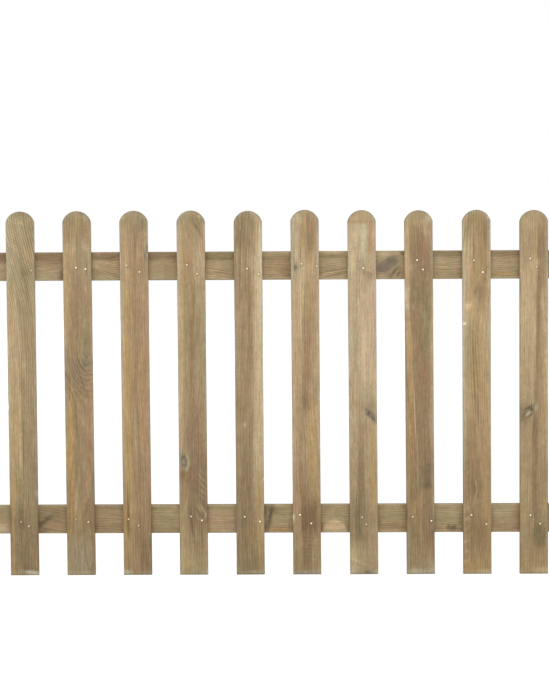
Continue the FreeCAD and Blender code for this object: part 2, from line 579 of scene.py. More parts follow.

# Each rail's plan, with across measured down from its centre line and along from its left end: its seed,
# its offset in the noise and its colour, the path of the tree's heart as places along, across and deep,
# how much the rings show, and its marks and knots. Some dark marks at the right end of a gap are painted
# shadow that the picket beside them casts on the rail.
RAILS = {
    "bottom_rail": {
        "seed": 41, "offset": 200.0, "base": tone(164, 145, 113),
        "heart": [(0, 70, 40), (130, 62, 40), (230, 80, 40), (800, 95, 40), (1800, 80, 40)], "figure": 0.3,
        "figures": [figure(-46, 46, 0.4, (100, 440)), figure(-46, 46, 0.1, (490, 640)),
                    figure(-46, 46, 0.35, (845, 950)), figure(-46, 0, 0.4, (1000, 1150)),
                    figure(-46, 46, 0.35, (1190, 1320)), figure(-46, 46, 0.2, (1380, 1700))],
        "marks": [
            band(-50, 0, MOSS, 0.4, 10, (-100, 240)), stain(28, 10, 12, 28, PALE, 0.7),
            stain(34, 14, 14, 28, CREAM, 0.4), stain(-26, 16, 16, 28, OLIVE, 0.3),
            band(-50, 50, BROWN, 0.6, 8, (130, 232), fade=12),
            stain(-18, 180, 18, 46, tone(132, 120, 94), 0.55), stain(6, 156, 7, 34, UMBER, 0.9, 34),
            stain(18, 140, 12, 12, UMBER, 0.7), stain(37, 148, 7, 16, UMBER, 0.5),
            stain(33, 180, 3, 30, UMBER, 0.3, -8), stain(40, 204, 4, 18, SAGE, 0.6),
            stain(-10, 214, 12, 8, TAN, 0.5), band(-50, 50, BROWN, 0.4, 6, (300, 415)),
            band(14, 50, OLIVE, 0.35, 6, (300, 415)), band(-50, -28, PLUM, 0.5, 5, (300, 415)),
            stain(28, 322, 14, 7, BROWN * 0.75, 0.4), band(-50, 50, MOSS, 0.35, 8, (480, 590)),
            stain(8, 584, 30, 10, PALE, 0.35), stain(-36, 578, 10, 14, ROSE, 0.4),
            band(24, 50, OLIVE, 0.4, 5, (480, 595)), band(-50, -28, MOSS, 0.45, 6, (665, 775)),
            stain(12, 706, 12, 34, PALE, 0.3), stain(4, 716, 24, 44, ROSE * 0.92, 0.35),
            stain(20, 735, 12, 16, SLATE, 0.2), stain(-12, 912, 15, 28, MOSS, 0.5),
            stain(-30, 888, 14, 24, OLIVE, 0.55), stain(32, 908, 5, 36, HONEY, 0.75),
            stain(28, 905, 1.6, 36, UMBER, 0.4), stain(-10, 864, 38, 13, PLUM * 0.75, 0.9),
            stain(-6, 874, 40, 6, UMBER * 0.68, 0.95, -12), stain(-26, 858, 16, 3.5, UMBER * 0.8, 0.8),
            stain(-14, 867, 16, 2.5, tone(160, 142, 126), 0.5, -6),
            stain(24, 857, 9, 8, UMBER * 0.75, 0.85), stain(2, 858, 8, 7, tone(150, 132, 110), 0.5),
            stain(0, 862, 7, 6, tone(152, 134, 112), 0.5), stain(25, 935, 18, 3, tone(112, 102, 92), 0.5),
            stain(38, 900, 4, 40, BROWN * 0.9, 0.5), band(-50, -5, MOSS, 0.2, 8, (1025, 1130)),
            stain(-22, 1073, 16, 5, PALE, 0.35), stain(28, 1036, 14, 7, tone(112, 84, 58), 0.85),
            stain(28, 1121, 16, 6, BROWN * 0.8, 0.7), patch(45, 1079, 42, 39, tone(195, 172, 138), 1.0),
            stain(39, 1058, 3, 18, MOSS, 0.55), stain(41, 1096, 3, 12, SAGE, 0.5),
            band(-30, 12, MOSS, 0.3, 9, (1205, 1500)), stain(-40, 1226, 6, 14, BROWN * 0.9, 0.5),
            stain(20, 1224, 16, 10, BROWN * 0.8, 0.5), stain(34, 1294, 10, 10, OLIVE * 0.9, 0.5),
            # The brown stains at along 1477 and 1479 are painted shadow cast by the picket to their right.
            stain(6, 1040, 44, 9, BROWN * 0.95, 0.45), stain(12, 1477, 16, 8, BROWN * 0.85, 0.5),
            stain(14, 1479, 12, 7, BROWN * 0.75, 0.4), band(14, 30, BROWN * 0.8, 0.7, 5, (1205, 1310)),
            # The brown stain at along 1300 is painted shadow cast by the picket to its right.
            band(31, 38, GOLD, 0.4, 3, (1225, 1290)), stain(-38, 1300, 12, 12, BROWN * 0.8, 0.6),
            stain(-26, 1412, 13, 20, ROSE, 0.25), stain(-16, 1450, 14, 22, SAGE, 0.3),
            stain(36, 1472, 9, 14, OLIVE, 0.6), stain(28, 1451, 10, 15, OLIVE, 0.5),
            stain(28, 1405, 8, 14, BROWN * 0.9, 0.5), stain(27, 1440, 9, 6, tone(88, 80, 50), 0.8),
            stain(31, 1456, 9, 8, tone(86, 78, 50), 0.85), stain(25, 1463, 5, 5, tone(96, 88, 60), 0.6),
            stain(35, 1447, 5, 9, OLIVE * 0.9, 0.6), stain(-20, 1600, 14, 28, SAGE, 0.55),
            stain(10, 1581, 40, 5, BROWN * 0.8, 0.4), band(0, 50, BROWN, 0.35, 12, (1560, 1670)),
            # The brown stain at along 1656 is painted shadow cast by the picket to its right.
            stain(0, 1656, 40, 16, BROWN * 0.92, 0.45), stain(-14, 218, 13, 8, TAN, 0.35),
            stain(38, 200, 4, 18, SAGE, 0.35), stain(6, 402, 12, 8, TAN, 0.45),
            stain(-38, 574, 6, 10, PALE, 0.35), stain(-38, 502, 5, 8, BROWN, 0.4),
        ],
        "knots": [knot(0, 862, 34, 10, SLATE, 0.15, 0, 0.0)],
    },
    "top_rail": {
        "seed": 47, "offset": 500.0, "base": tone(166, 147, 115),
        "heart": [(0, -60, 40), (290, -96, 14), (320, -90, 20), (350, -66, 44), (410, -42, 62),
                  (500, -78, 45), (640, -78, 40), (780, -62, 40), (1000, -58, 40),
                  (1130, -74, 40), (1800, -70, 40)],
        "figure": 0.3,
        "figures": [figure(-25, 46, 1.0, (310, 410)), figure(-25, 46, 0.15, (500, 595)),
                    figure(-25, 46, 0.7, (665, 770)), figure(-25, 46, 0.5, (845, 950)),
                    figure(-25, 46, 0.6, (1030, 1130)), figure(-25, 46, 0.5, (1380, 1490)),
                    figure(-25, 46, 0.3, (1560, 1700))],
        "marks": [
            band(-60, -20, BROWN * 0.78, 0.75, 2.5, (240, 600)), stain(-27, 382, 7, 22, UMBER, 0.4),
            # The stain at along 578 is painted shadow cast by the picket to its right.
            stain(-39, 330, 6, 14, TAN, 0.5), stain(-19, 578, 10, 9, UMBER * 0.9, 0.5),
            band(-60, -17, BROWN * 0.78, 0.8, 2.5, (-100, 240)),
            band(-21, -7, BROWN, 0.5, 4, (-100, 240)), stain(40, 30, 7, 26, tone(150, 140, 114), 0.5),
            stain(-6, 16, 7, 26, PALE, 0.35), band(-60, -17, OLIVE, 0.75, 2.5, (640, 790)),
            stain(-23, 742, 6, 34, OLIVE * 0.85, 0.4), stain(-30, 682, 12, 8, OLIVE * 0.85, 0.4),
            band(-30, -15, OLIVE, 0.6, 4, (830, 970)), band(-37, -22, OLIVE, 0.6, 3, (1015, 1140)),
            band(-60, -28, OLIVE, 0.7, 2.5, (1370, 1500)),
            band(-60, -26, BROWN * 0.78, 0.8, 2.5, (1560, 1680)), band(26, 50, SAGE, 0.5, 8, (120, 195)),
            # The two umber stains at along 218 and 221 are painted shadow cast by the picket to their right.
            stain(26, 221, 20, 12, UMBER, 0.6), stain(39, 218, 6, 12, UMBER, 0.5),
            stain(-6, 334, 13, 20, PALE, 0.5), stain(-14, 397, 12, 10, ROSE, 0.6),
            stain(34, 322, 8, 8, UMBER, 0.4), band(26, 50, SAGE, 0.45, 6, (310, 410)),
            stain(2, 560, 45, 30, BROWN, 0.35), stain(-24, 506, 8, 12, BROWN * 0.85, 0.6),
            # The umber band over along 560 to 600 is painted shadow cast by the picket to its right.
            band(-40, -26, UMBER, 0.4, 5, (560, 600), fade=10), stain(9, 712, 9, 26, PALE, 0.7),
            stain(3, 702, 10, 18, PALE, 0.4), stain(12, 718, 2.5, 40, UMBER, 0.75, -10),
            stain(22, 728, 2, 36, UMBER, 0.4, -8), stain(32, 700, 8, 26, PALE, 0.5),
            stain(36, 750, 8, 14, MOSS, 0.6), band(-20, 46, ROSE * 0.85, 0.3, 8, (845, 950)),
            # The two brown stains at along 930 are painted shadow cast by the picket to their right.
            stain(8, 930, 40, 24, BROWN, 0.5), stain(18, 930, 18, 24, BROWN * 0.85, 0.4),
            stain(22, 1072, 5, 30, PALE, 0.45, 10), stain(17, 1077, 2.5, 46, UMBER, 0.6, 10),
            stain(28, 1090, 2.5, 40, UMBER, 0.5, 12),
            band(36, 50, tone(196, 170, 140), 0.6, 3, (1028, 1080)),
            band(38, 50, ROSE, 0.6, 3, (1080, 1128)), stain(-42, 1090, 6, 34, PALE, 0.5),
            stain(-37, 1090, 6, 32, PALE, 0.35), stain(-8, 1106, 14, 14, PALE, 0.35),
            stain(-35, 1240, 12, 34, tone(186, 168, 134), 0.8), stain(34, 1224, 10, 14, PALE, 0.5),
            stain(38, 1232, 6, 16, tone(186, 172, 150), 0.5),
            patch(-4, 1252, 19, 42, tone(132, 117, 98), 0.55, 27),
            stain(12, 1232, 17, 20, tone(112, 96, 90), 0.75),
            stain(-15, 1266, 11, 20, tone(110, 104, 78), 0.75, 20),
            stain(-2, 1249, 6, 7, tone(146, 131, 112), 0.35),
            stain(-24, 1284, 8, 12, tone(174, 160, 130), 0.5), stain(8, 1285, 9, 9, BROWN * 0.85, 0.5),
            stain(-16, 1293, 14, 4, tone(176, 165, 140), 0.7),
            stain(6, 1274, 3.5, 20, tone(172, 160, 138), 0.6, 42),
            stain(-37, 1297, 8, 8, tone(92, 82, 58), 0.8),
            stain(23, 1254, 3.5, 14, tone(152, 139, 124), 0.7, 68),
            stain(22, 1272, 12, 18, BROWN * 0.85, 0.6), stain(20, 1271, 3, 17, UMBER * 0.65, 0.95, 56),
            stain(28, 1283, 3, 12, UMBER * 0.7, 0.9, 60), stain(29, 1275, 2, 11, PALE, 0.6, 58),
            # The brown stain at along 1292 is painted shadow cast by the picket to its right.
            stain(36, 1256, 2.5, 9, UMBER, 0.6, 62), stain(26, 1292, 10, 8, BROWN, 0.6),
            band(-14, -9, PALE, 0.5, 2, (1388, 1482)), band(-3, 5, PALE, 0.5, 3, (1400, 1470)),
            stain(10, 1428, 5, 26, PALE, 0.5), band(10, 14, PALE, 0.4, 2, (1388, 1482)),
            # The brown stain at along 1478 is painted shadow cast by the picket to its right.
            stain(28, 1478, 14, 12, BROWN, 0.5), stain(30, 1402, 10, 12, BROWN, 0.45),
            # The brown stain at along 1662 is painted shadow cast by the picket to its right.
            stain(28, 1662, 12, 10, BROWN * 0.9, 0.5), stain(-12, 1592, 12, 20, PALE, 0.3),
            band(24, 30, HONEY, 0.4, 2.5, (1572, 1665)), stain(40, 158, 6, 16, tone(190, 182, 152), 0.4),
            stain(-22, 186, 7, 30, BROWN * 0.8, 0.35), stain(8, 194, 12, 18, BROWN, 0.35),
            stain(-5, 348, 8, 18, PALE, 0.35), stain(20, 380, 16, 16, BROWN, 0.35),
            band(33, 50, tone(188, 172, 146), 0.4, 3, (495, 580)), stain(8, 710, 9, 24, PALE, 0.3),
            stain(-8, 1302, 16, 8, TAN, 0.4), stain(28, 1298, 10, 8, TAN, 0.35),
            stain(32, 1448, 8, 18, BROWN, 0.3), stain(-20, 1412, 6, 18, PALE, 0.35),
            stain(29, 1590, 6, 16, GOLD, 0.4),
        ],
        "knots": [knot(-6, 1250, 20, 42, SLATE, 0.15, 20, 0.0)],
    },
}


def make_rail(name, plan):
    """Model one rail over its node, and dress it."""
    low, high = (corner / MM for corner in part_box(name))
    long, thick, tall = high - low
    edge = arris_lines(RAIL_ARRIS)
    lip = np.array([0, SAWN_LIP])
    columns = grid_lines(tall, RAIL_STEP_ACROSS, edge, edge) - tall / 2
    rows = grid_lines(long, RAIL_STEP_ALONG, lip, lip)
    mesh = board_mesh(name + "_board", columns, rows, thick)
    across, depth, along = places_of(mesh)
    from_edge = tall / 2 - np.abs(across)
    board = {"across": across, "along": along}
    board["depth"] = round_over(depth, thick, from_edge, RAIL_ARRIS)
    lay_grain(board, plan, plan["seed"])
    paint(board, plan)
    # Painted shade on the rail beside the right edge of each picket.
    for picket in PICKET_NODES:
        beside = along - (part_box(picket)[1].x / MM - low.x)
        blend(board, PAINTED_SHADE * fading(beside, PAINTED_SHADE_REACH), UMBER)
    worn = np.where(across > 0, WORN_BELOW, WORN_ABOVE)
    blend(board, worn * fading(from_edge, WORN_REACH), RAIL_EDGE_TONE)
    weather_face(board, thick, plan["knots"], plan["seed"])
    corner = (low.x * MM, low.y * MM, (low.z + high.z) / 2 * MM)
    finish_board(mesh, board, RAIL_TURN, corner, plan["offset"])
    mesh.materials.append(RAIL_PINE)
    rail = set_out(name + "_pine", mesh)
    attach(rail, "root")
    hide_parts(name)


for rail_name, rail_plan in RAILS.items():
    make_rail(rail_name, rail_plan)

# The ten pickets: thinner planed pine boards, each with its own colour, figure and knots.
# The top is cut to a round crown, the face edges are rolled over and the foot is sawn square.
# They stand on the front of the rails, an even gap apart, each nailed up a hair out of true.
PICKET_ARRIS = 3.0
PICKET_STEP_ACROSS = 2.9
PICKET_STEP_ALONG = 3.3
PICKET_RING = 7.0
PICKET_PINE = treated_pine("picket_pine", PICKET_RING)
PICKET_TURN = Matrix.Identity(3)
FIRST_SEED = 7
GRAIN_OFFSET = 100.0
NAILED_TO = {"top_nails": "top_rail", "bottom_nails": "bottom_rail"}
LEFT = -1
RIGHT = 1

# Each picket's plan: the path of the tree's heart as places along, across and deep, how much the rings
# show, how bleached its left and right edges are, how far it stands off its place and leans, in degrees,
# how much longer it was cut, its colour, marks and knots, its chips of fresh wood and its painted
# highlights, and the nicks in its edges. Its nails are given across from the centre line and up from the
# rail's middle, with how bright they are.
PICKETS = {
    "picket_01": {
        "heart": [(0, 175, 30), (700, 172, 30), (850, 165, 30), (900, 156, 30), (1000, 126, 30),
                  (1100, 102, 30), (1150, 97, 30)], "figure": 0.3,
        "figures": [figure(-46, 46, 0.35, (870, 1200)), figure(5, 46, 0.4, (960, 1090)),
                    figure(-10, 46, 0.4, (500, 860))],
        "bleached": (0.6, 0.4), "shift": 2.0, "lean": -0.25, "longer": 2.2, "base": tone(163, 144, 112),
        "marks": [
            band(-50, -8, PALE, 0.6, 7, (340, 900)), band(-50, 50, SAGE, 0.3, 4, (880, 1300), fade=60),
            stain(-36, 1055, 12, 75, tone(182, 174, 147), 0.6),
            stain(-16, 1102, 21, 36, tone(194, 178, 148), 0.6), stain(27, 1050, 13, 50, BROWN, 0.45),
            stain(22, 1018, 9, 22, PALE, 0.45), stain(41, 990, 6, 60, OLIVE * 1.1, 0.35),
            stain(41, 108, 5, 40, OLIVE, 0.45), stain(-16, 1025, 14, 30, ROSE, 0.2),
            stain(4, 1146, 24, 5, tone(112, 106, 98), 0.55), stain(27, 1008, 3, 26, GOLD, 0.5, 20),
            *[stain(-24, along, 2.2, 17, OLIVE, 0.5, 58) for along in range(985, 1125, 10)],
            *[stain(-24, along, 2.2, 17, CREAM, 0.6, 58) for along in range(990, 1125, 10)],
            stain(-28, 994, 11, 38, tone(200, 184, 154), 0.35), stain(9, 958, 13, 18, OLIVE, 0.6),
            stain(-12, 930, 9, 34, tone(168, 164, 128), 0.5), stain(20, 905, 9, 30, OLIVE, 0.45),
            band(-36, -28, HONEY, 0.5, 3, (780, 910)), band(-21, -16, CREAM, 0.5, 2, (850, 930)),
            band(-8, -2, CREAM, 0.4, 2, (680, 800)), band(-2, 5, OLIVE, 0.5, 2.5, (550, 660)),
            band(-50, -12, GOLD, 0.4, 5, (330, 560)), band(-12, -8, CREAM, 0.6, 1.4, (320, 560)),
            band(-2, 2, BROWN * 0.85, 0.5, 1.4, (330, 480)), stain(-7, 400, 3, 60, CREAM, 0.5, 1.7),
            stain(2, 662, 14, 28, PALE, 0.5), band(-42, -24, GOLD, 0.6, 4, (225, 320)),
            stain(16, 445, 3, 28, SAGE, 0.4), stain(5, 470, 12, 34, MOSS, 0.45),
            stain(24, 420, 8, 60, BROWN, 0.3), stain(38, 290, 8, 44, BROWN, 0.4),
            stain(42, 259, 3.5, 13, tone(206, 200, 180), 0.8), band(-50, 50, BROWN, 0.4, 6, (-100, 220)),
            band(-40, -30, GOLD, 0.65, 3, (-100, 260)), stain(-10, 180, 9, 48, UMBER, 0.5),
            stain(6, 166, 5, 22, UMBER, 0.4), stain(-43, 168, 6, 54, BROWN * 0.8, 0.75),
            stain(19, 128, 7, 18, PLUM * 1.1, 0.5), stain(-4, 60, 13, 40, OLIVE, 0.4),
            stain(4, 26, 10, 18, UMBER, 0.45), stain(14, 20, 14, 8, UMBER, 0.35),
            stain(-42, 192, 6, 34, BROWN * 0.8, 0.4), stain(-43, 214, 6, 30, BROWN * 0.8, 0.35),
            stain(38, 300, 7, 50, BROWN * 0.9, 0.35), stain(-30, 278, 9, 44, tone(204, 178, 128), 0.45),
            stain(26, 8, 26, 5.5, tone(214, 211, 196), 0.95, -9),
        ],
        "knots": [],
        "chips_and_highlights": [stain(1, 1118, 2, 5, CREAM, 0.6, 40), stain(8, 1113, 2, 5, CREAM, 0.6, 40)],
        "nicks": [(LEFT, 536, 1.2, 9)],
        "top_nails": [(34.6, -13, 0.4)],
        "bottom_nails": [(-9.1, -4.7, 0.48), (15.4, -18.5, 0.85)],
    },
    "picket_02": {
        "heart": [(0, 30, 84), (550, 30, 80), (590, 31, 68), (630, 32, 50), (670, 32, 30), (710, 31, 24),
                  (800, 30, 30), (1150, 30, 36)], "figure": 0.2,
        "figures": [figure(-46, 50, 0.3, (575, 720))],
        "bleached": (0.35, 0.15), "shift": 1.6, "lean": -0.3, "longer": 2.5, "base": tone(160, 138, 106),
        "marks": [
            band(-70, -35, GOLD, 0.6, 4, (640, 1060), lean=40),
            band(-40, -12, BROWN, 0.3, 5, (1070, 1135)), band(-34, -3, PALE, 0.4, 4, (1000, 1062)),
            stain(-6, 1048, 7, 26, PALE, 0.5), stain(-16, 906, 9, 30, PALE, 0.5),
            band(-6, 6, GOLD, 0.5, 3, (1085, 1145)), band(-15, -11, PALE, 0.6, 1.5, (985, 1055)),
            band(8, 50, SAGE, 0.35, 6, (960, 1060)), stain(28, 1085, 13, 24, PLUM * 1.2, 0.4),
            stain(26, 1040, 6, 13, tone(190, 180, 154), 0.6, 20), band(0, 10, MOSS, 0.45, 3, (985, 1060)),
            stain(24, 1136, 12, 9, tone(176, 172, 148), 0.5), stain(12, 1147, 2.5, 6, UMBER * 0.7, 0.8),
            stain(24, 922, 4, 30, ROSE, 0.5), band(12, 38, MOSS, 0.45, 5, (690, 830)),
            band(-22, 8, BROWN, 0.4, 6, (700, 930)), stain(0, 730, 9, 50, BROWN, 0.4),
            stain(0, 650, 48, 50, SLATE, 0.4), stain(-40, 690, 7, 50, SLATE, 0.45),
            stain(24, 682, 11, 18, SLATE, 0.45), stain(38, 625, 12, 14, ROSE, 0.4),
            stain(18, 582, 20, 18, BROWN * 0.9, 0.6), stain(-30, 624, 2.5, 28, UMBER, 0.5, 27),
            stain(6, 630, 2.5, 23, UMBER, 0.4, 14), stain(17, 594, 2.5, 15, UMBER, 0.4, 22),
            stain(14, 655, 2.5, 18, UMBER, 0.45, 30), stain(37, 638, 2.5, 14, UMBER, 0.55, 84),
            stain(23, 622, 2.5, 13, UMBER, 0.45, 45), stain(41, 611, 2.5, 9, UMBER, 0.45, 84),
            band(-50, -20, GOLD, 0.5, 5, (310, 540)), band(-30, -19, HONEY, 0.4, 3, (150, 590)),
            band(8, 50, ROSE, 0.3, 6, (220, 590)), stain(30, 480, 10, 60, ROSE * 0.82, 0.5),
            stain(30, 350, 6, 30, ROSE * 0.85, 0.45), stain(43, 284, 6, 60, tone(132, 119, 99), 0.75),
            stain(-5, 525, 7, 34, BROWN, 0.45), stain(-24, 500, 8, 50, GOLD, 0.45),
            stain(11, 548, 8, 18, BROWN, 0.5), stain(-20, 282, 6, 24, GOLD, 0.45),
            band(26, 50, ROSE * 0.9, 0.3, 6, (330, 520)), band(-15, -10, OLIVE, 0.45, 2, (340, 560)),
            stain(-13, 235, 7, 50, PALE, 0.5), band(-36, -22, HONEY, 0.3, 4, (130, 420)),
            stain(34, 180, 10, 60, BROWN, 0.5), stain(-42, 176, 6, 40, BROWN, 0.4),
            stain(-36, 140, 7, 10, HONEY, 0.9), stain(-12, 165, 6, 20, SAGE, 0.35),
            band(-50, 34, SAGE, 0.4, 6, (-100, 120)), stain(8, 44, 46, 50, tone(166, 150, 132), 0.5),
            stain(43, 62, 6, 50, tone(130, 120, 100), 0.45), stain(41, 934, 7, 15, BROWN, 0.45),
            stain(34, 810, 7, 28, BROWN, 0.45), stain(-6, 840, 7, 30, TAN, 0.5),
            stain(11, 784, 9, 36, BROWN, 0.4), stain(12, 9, 28, 3, tone(186, 178, 160), 0.5),
        ],
        "knots": [], "chips_and_highlights": [], "nicks": [],
        "top_nails": [(-3, -4.5, 1.1), (26.4, -9.3, 1.2)],
        "bottom_nails": [(-15.2, 2.9, 0.5), (24.1, -5.9, 0.8)],
    },
    "picket_03": {
        "heart": [(0, -80, 35), (1150, -100, 35)], "figure": 0.3, "figures": [],
        "bleached": (0.8, 0.2), "shift": 1.1, "lean": -0.3, "longer": 2.8, "base": tone(167, 141, 109),
        "marks": [
            band(-32, -20, GOLD, 0.6, 4, (840, 1120)), band(-26, -12, PALE, 0.45, 3, (940, 1075)),
            band(-42, -18, GOLD, 0.7, 4, (100, 850)), band(1, 10, BROWN, 0.45, 3, (250, 1080)),
            band(12, 50, ROSE, 0.3, 5, (360, 900)), band(-50, 50, SAGE, 0.35, 6, (1085, 1300)),
            stain(8, 1105, 16, 16, BROWN, 0.4), stain(8, 1066, 7, 32, BROWN * 0.9, 0.5),
            stain(42, 1062, 4, 28, tone(196, 182, 152), 0.6),
            stain(30, 1114, 12, 24, tone(120, 112, 92), 0.55), band(10, 16, PALE, 0.35, 2, (900, 1050)),
            stain(38, 1024, 8, 28, tone(146, 138, 116), 0.6), stain(34, 1036, 2.5, 18, SAGE * 1.2, 0.7),
            stain(41, 1034, 4, 12, tone(120, 114, 92), 0.7),
            stain(37, 1009, 6, 14, tone(116, 104, 94), 0.8),
            stain(30, 1012, 2, 15, tone(186, 176, 152), 0.5, 8), stain(34, 980, 8, 20, BROWN, 0.3),
            stain(-40, 890, 8, 28, PALE, 0.6), stain(-26, 880, 14, 40, GOLD, 0.4),
            stain(40, 340, 6, 44, BROWN, 0.4), stain(-40, 780, 5, 44, CREAM, 0.5),
            stain(-26, 650, 8, 60, HONEY, 0.4), stain(-31, 450, 7, 60, HONEY, 0.35),
            band(-8, 4, PALE, 0.4, 3, (345, 530)), stain(29, 440, 4, 22, tone(190, 146, 114), 0.5),
            stain(14, 324, 8, 30, BROWN, 0.5), band(28, 33, HONEY, 0.5, 1.5, (395, 455), fade=15),
            band(-35, -26, tone(110, 82, 48), 0.75, 3.2, (128, 250), fade=25),
            stain(-39, 165, 4, 34, HONEY * 0.8, 0.5), band(3, 7, UMBER, 0.5, 1.5, (165, 225), fade=20),
            band(8, 32, PLUM, 0.6, 5, (10, 130)), band(32, 50, BROWN, 0.5, 4, (-100, 260)),
            stain(38, 124, 5, 17, tone(170, 168, 142), 0.5), stain(43, 104, 6, 26, OLIVE * 0.85, 0.9),
            stain(-40, 98, 7, 48, tone(198, 172, 126), 0.55),
            stain(-12, 236, 10, 46, tone(190, 166, 124), 0.45), stain(-29, 494, 9, 40, GOLD, 0.5),
            stain(12, 752, 12, 44, BROWN, 0.4), stain(-29, 494, 11, 40, tone(206, 176, 130), 0.4),
            stain(-32, 898, 15, 28, tone(212, 188, 148), 0.4), stain(42, 236, 6, 14, BROWN * 0.85, 0.5),
            stain(-41, 782, 5, 34, tone(226, 202, 164), 0.4),
            stain(-28, 86, 18, 34, tone(196, 170, 126), 0.35), stain(9, 118, 7, 46, BROWN * 0.8, 0.35),
            stain(-33, 9, 13, 9, tone(212, 208, 182), 0.95),
            stain(18, 7, 12, 5, tone(140, 130, 122), 0.7),
        ],
        "knots": [],
        "chips_and_highlights": [stain(42, 1012, 2.5, 6, tone(196, 188, 170), 0.7)],
        "nicks": [],
        "top_nails": [(-23.9, 2.1, 0.95), (17.5, -18.2, 1.3)],
        "bottom_nails": [(-27.6, 3.0, 0.95), (4.3, -17.9, 0.62)],
    },
    "picket_04": {
        "heart": [(0, 70, 50), (600, 95, 50), (1000, 90, 50), (1080, 86, 50), (1150, 78, 50)], "figure": 0.2,
        "figures": [],
        "bleached": (0.85, 0.3), "shift": 0.4, "lean": -0.2, "longer": 2.5, "base": TAN,
        "marks": [
            band(-50, -24, GOLD, 0.55, 4, (900, 1090)), band(-50, -28, PALE, 0.4, 5, (950, 1100)),
            band(-14, 4, ROSE, 0.5, 4, (920, 1090)), band(6, 44, PALE, 0.45, 5, (920, 1060)),
            stain(36, 1035, 8, 14, ROSE, 0.5), band(14, 20, MOSS, 0.4, 4, (920, 1080)),
            stain(15, 1105, 4.5, 18, OLIVE * 0.75, 0.85, 33),
            stain(27, 1110, 7, 14, BROWN * 0.85, 0.5, 30), stain(9, 1127, 9, 11, OLIVE, 0.5),
            stain(27, 1084, 4, 16, OLIVE, 0.4, 22), stain(33, 1130, 5, 14, OLIVE, 0.5, 35),
            stain(-38, 1122, 13, 18, tone(146, 132, 112), 0.7), stain(41, 416, 5, 24, BROWN, 0.5),
            band(-50, -26, PALE, 0.6, 4, (400, 930)), band(-38, -26, GOLD, 0.5, 4, (430, 930)),
            stain(-28, 648, 9, 46, tone(200, 172, 130), 0.5), band(-22, -10, MOSS, 0.35, 4, (600, 900)),
            band(-10, 12, BROWN, 0.5, 5, (430, 930)), band(-3, 4, PLUM, 0.5, 3, (590, 830)),
            band(16, 44, MOSS, 0.25, 6, (580, 900)), stain(26, 870, 4, 40, SAGE, 0.4, -8),
            stain(18, 655, 10, 20, SAGE, 0.3), stain(1, 568, 3, 6, ROSE, 0.8),
            band(26, 30, HONEY, 0.65, 1.5, (405, 455), fade=12), stain(-4, 452, 16, 44, PLUM, 0.6),
            band(-18, 50, PLUM, 0.65, 6, (150, 420)), band(10, 50, BROWN, 0.4, 8, (380, 560)),
            stain(-24, 296, 18, 44, BROWN, 0.6), stain(-30, 362, 19, 24, SAGE, 0.7),
            stain(-22, 326, 22, 9, BROWN * 0.85, 0.5), stain(-36, 318, 10, 14, tone(140, 100, 56), 1.0),
            stain(-29, 357, 9, 13, tone(158, 143, 132), 0.8),
            stain(-30, 375, 6, 6, tone(88, 78, 60), 0.85),
            stain(-30, 357, 4, 4, tone(176, 162, 150), 0.6),
            stain(-35, 366, 2.5, 4, tone(84, 74, 62), 0.7),
            stain(-25, 350, 2.5, 4, tone(92, 82, 68), 0.6),
            stain(-38, 362, 3, 12, tone(116, 104, 92), 0.4),
            stain(-22, 356, 3, 12, tone(112, 100, 84), 0.6, 8),
            stain(-29, 348, 7, 3, tone(112, 100, 88), 0.5),
            stain(-41, 364, 4, 16, tone(176, 158, 136), 0.5),
            stain(-34, 372, 2, 3, tone(84, 74, 58), 0.9), stain(-26, 365, 2, 3, tone(92, 82, 68), 0.8),
            stain(-33, 351, 2, 3, tone(94, 84, 72), 0.8),
            stain(-30, 362, 2.5, 3, tone(192, 178, 162), 0.8),
            stain(-27, 354, 2.5, 3, tone(188, 172, 156), 0.8),
            stain(-35, 358, 2, 3, tone(180, 166, 152), 0.7),
            stain(-30, 369, 3, 2, tone(170, 156, 138), 0.6),
            stain(-17, 374, 2.5, 9, tone(186, 176, 142), 0.7, 12),
            stain(-13, 357, 2.5, 10, tone(186, 176, 142), 0.7, -4),
            stain(-18, 338, 3, 11, tone(190, 178, 144), 0.75, -24),
            stain(26, 272, 10, 30, PLUM * 0.85, 0.35),
            *[stain(across, along, 2, 12, CREAM, 0.42, 43) for across, along in (
                (30, 326), (24, 313), (31, 302), (26, 289), (33, 280), (27, 266), (35, 260), (29, 247))],
            stain(20, 205, 16, 18, OLIVE * 0.85, 0.6), stain(18, 212, 2, 18, CREAM, 0.7, 32),
            stain(27, 214, 2, 16, CREAM, 0.7, 28), stain(34, 202, 2, 14, CREAM, 0.6, 20),
            stain(39, 188, 2.5, 11, CREAM, 0.7, -10), stain(12, 190, 2, 12, CREAM, 0.5, 20),
            stain(25, 177, 10, 2, CREAM, 0.5), stain(18, 230, 9, 20, MOSS, 0.35),
            stain(-9, 190, 4, 38, UMBER, 0.6, 6), stain(-2, 138, 4, 34, UMBER, 0.75, 8),
            stain(3, 104, 3, 24, UMBER, 0.5, 9), stain(18, 92, 12, 30, BROWN * 0.9, 0.5),
            stain(25, 112, 3, 46, UMBER, 0.5), band(-50, 50, tone(184, 166, 130), 0.5, 6, (-100, 115)),
            band(-46, -14, TAN, 0.4, 5, (90, 230)), stain(-20, 40, 26, 14, GOLD, 0.3),
            stain(-36, 24, 10, 60, PALE, 0.5), stain(-37, 150, 9, 60, PALE, 0.4),
            stain(13, 86, 14, 26, BROWN * 0.85, 0.4), stain(-30, 60, 14, 60, tone(210, 194, 156), 0.3),
            stain(0, 204, 8, 26, TAN, 0.4), stain(42, 10, 5, 9, tone(200, 190, 166), 0.7),
            stain(16, 7, 22, 5, tone(136, 124, 104), 0.5),
        ],
        "knots": [knot(-29, 360, 9, 14, tone(138, 124, 112), 0.2, 0, 0.25)],
        "chips_and_highlights": [stain(27, 1134, 7, 4, tone(190, 182, 154), 0.7, -30)],
        "nicks": [],
